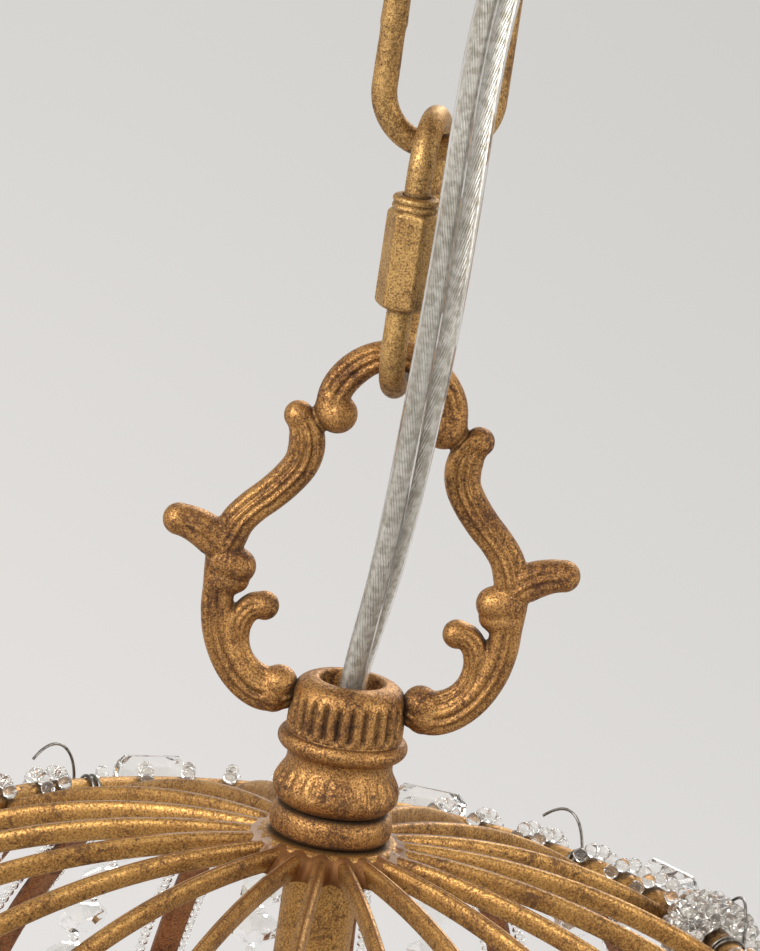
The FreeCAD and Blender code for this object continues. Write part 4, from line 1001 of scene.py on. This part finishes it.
clear_glass = bead_glass("bulb_clear_glass", (250, 249, 246), 0.02, 40.0)
plated = moulded("plated_cap", (206, 204, 198), (176, 170, 160), 0.22, 1.0)
tungsten = moulded("filament_wire", (120, 112, 104), (92, 84, 78), 0.35, 1.0)
seat = -329.1
glass_line = smooth_line([(8.8, seat), (8.8, seat + 2.4), (8.85, seat + 4.7), (10.3, seat + 8.0), (13.4, seat + 13.4),
                          (16.0, seat + 20.5), (16.95, seat + 28.1), (15.9, seat + 37.0), (13.4, seat + 47.0),
                          (10.2, seat + 56.5), (6.4, seat + 65.5), (3.6, seat + 70.6), (1.9, seat + 73.2),
                          (0.15, seat + 74.0)], 90)
inner_line = glass_line[::-1] - (0.6, 0)
inner_line[:, 0] = np.maximum(inner_line[:, 0], 0.12)
inner_line[:, 1] = np.minimum(inner_line[:, 1], seat + 73.0)
envelope = lathe(np.vstack([glass_line, inner_line]), 72, lamp_reach)
stem_line = smooth_line([(0.12, seat + 26.0), (1.1, seat + 25.8), (1.3, seat + 24.0), (1.1, seat + 14.0),
                         (2.0, seat + 7.0), (5.6, seat + 1.5), (7.6, seat + 0.6)], 30)
stem_line = np.vstack([stem_line, [(7.6, seat + 0.1), (0.12, seat + 0.1)]])
mount = lathe(stem_line, 32, lamp_reach)
t = np.linspace(0, 1, 60)
lead = np.stack([lamp_reach + 0 * t, 1.6 + 2.6 * t**2, seat + 7.0 + 24.0 * t], -1)
fine = np.linspace(0, 1, 420)
loop_turn = 2 * np.pi * 34 * fine
sag = np.sin(np.pi * fine) * 3.0
filament = np.stack([lamp_reach + 0.42 * np.cos(loop_turn), -4.2 + 8.4 * fine,
                     seat + 31.0 + sag + 0.42 * np.sin(loop_turn)], -1)
lead_outline = ellipse(np.full(60, 0.16), 6)
wires = shells([joined_rings(carried(lead, lead_outline, (1, 0, 0))),
                joined_rings(carried(lead * (1, -1, 1), lead_outline, (1, 0, 0))),
                joined_rings(carried(filament, ellipse(np.full(420, 0.09), 5), (0.2, 0.9, 0.3)))])
for number, bearing in enumerate(lamp_bearings, 1):
    body = f"bulb_{number}"
    for name, shape, material, slot in (("envelope", envelope, clear_glass, "bulb_glass"),
                                        ("glass_stem", mount, clear_glass, "bulb_glass"),
                                        ("filament", wires, tungsten, "steel")):
        surface, faces = round_about(shape, [bearing])
        part = piece(f"{body}_{name}", (surface * mm, faces), material)
        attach(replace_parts(part, f"bulb_glass_{number}"), body)
    wear((f"bulb_cap_{number}",), plated)

# ---- Finial and ball --------------------------------------------------------------------------
# A cast cup with soft flutes closes the basket, held by a turned nut on the rod. A small steel-wire hook hangs in
# the nut's eye and is glued into a faceted crystal ball.
cup_line = smooth_line([(3.05, -415.0), (15.5, -415.0), (17.3, -415.4), (18.0, -417.0), (17.0, -419.2), (14.4, -421.2),
                        (11.0, -422.4), (7.0, -423.0), (3.05, -423.0)], 90)
flutes = np.clip((-415.6 - cup_line[:, 1]) / 1.5, 0, 1) * np.clip((cup_line[:, 0] - 7.0) / 4.0, 0, 1) * 0.8
surface, faces = lathe(cup_line, 240, ripple=flutes, lobes=24)
cup = piece("fluted_finial_cup", (surface * mm, faces), coppery_gold)
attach(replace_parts(cup, "finial_cup"), "fixture")
wear(("finial_nut",), coppery_gold)
wear(("ball_hook",), steel)

ball_z, ball_radius = -458.0, 15.0
rows, count = 9, 14
bend = np.linspace(0.16, np.pi - 0.16, rows)[:, None]
angle = 2 * np.pi * (np.arange(count)[None, :] + 0.5 * (np.arange(rows)[:, None] % 2)) / count
rings = ball_radius * np.stack([np.sin(bend) * np.cos(angle), np.sin(bend) * np.sin(angle),
                                np.cos(bend) + 0 * angle], -1)
# Every four points between two rows make two triangles, split one way on even rows and the other way on odd ones.
row, step = np.arange(rows - 1)[:, None], np.arange(count)[None, :]
near, far = row * count + step, row * count + (step + 1) % count
even = (row % 2 == 0)[..., None]
first = np.where(even, np.stack([near, far, near + count], -1), np.stack([near, far, far + count], -1))
second = np.where(even, np.stack([far, far + count, near + count], -1),
                  np.stack([near, far + count, near + count], -1))
facets = np.concatenate([first.reshape(-1, 3), second.reshape(-1, 3)]).tolist()
facets = [f[::-1] for f in facets] + [list(range(count)), list(range((rows - 1) * count, rows * count))[::-1]]
ball_piece = piece("faceted_ball", ((rings.reshape(-1, 3) + (0, 0, ball_z)) * mm, facets), cut_crystal,
                   smooth=False)
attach(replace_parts(ball_piece, "crystal_ball"), "ball_drop")

# ---- Ceiling cup and what is inside it --------------------------------------------------------
# A spun steel cup hides a plated strap, a threaded tube with its nut and a white terminal block. The eye under
# it is cast, and the cable goes in through a white grommet.
wear(("canopy_cup", "canopy_eye"), leaf_gold)
zinc = moulded("zinc_plate", (190, 190, 184), (160, 156, 146), 0.34, 0.95)
wear(("mounting_strap", "canopy_nipple", "strap_nut"), zinc)
wear(("terminal_block", "cable_grommet", "cable_bush", "wire_connectors"),
     moulded("white_nylon", (234, 233, 228), (222, 220, 212), 0.38))
wear(("inner_cable",), jacket_paint)
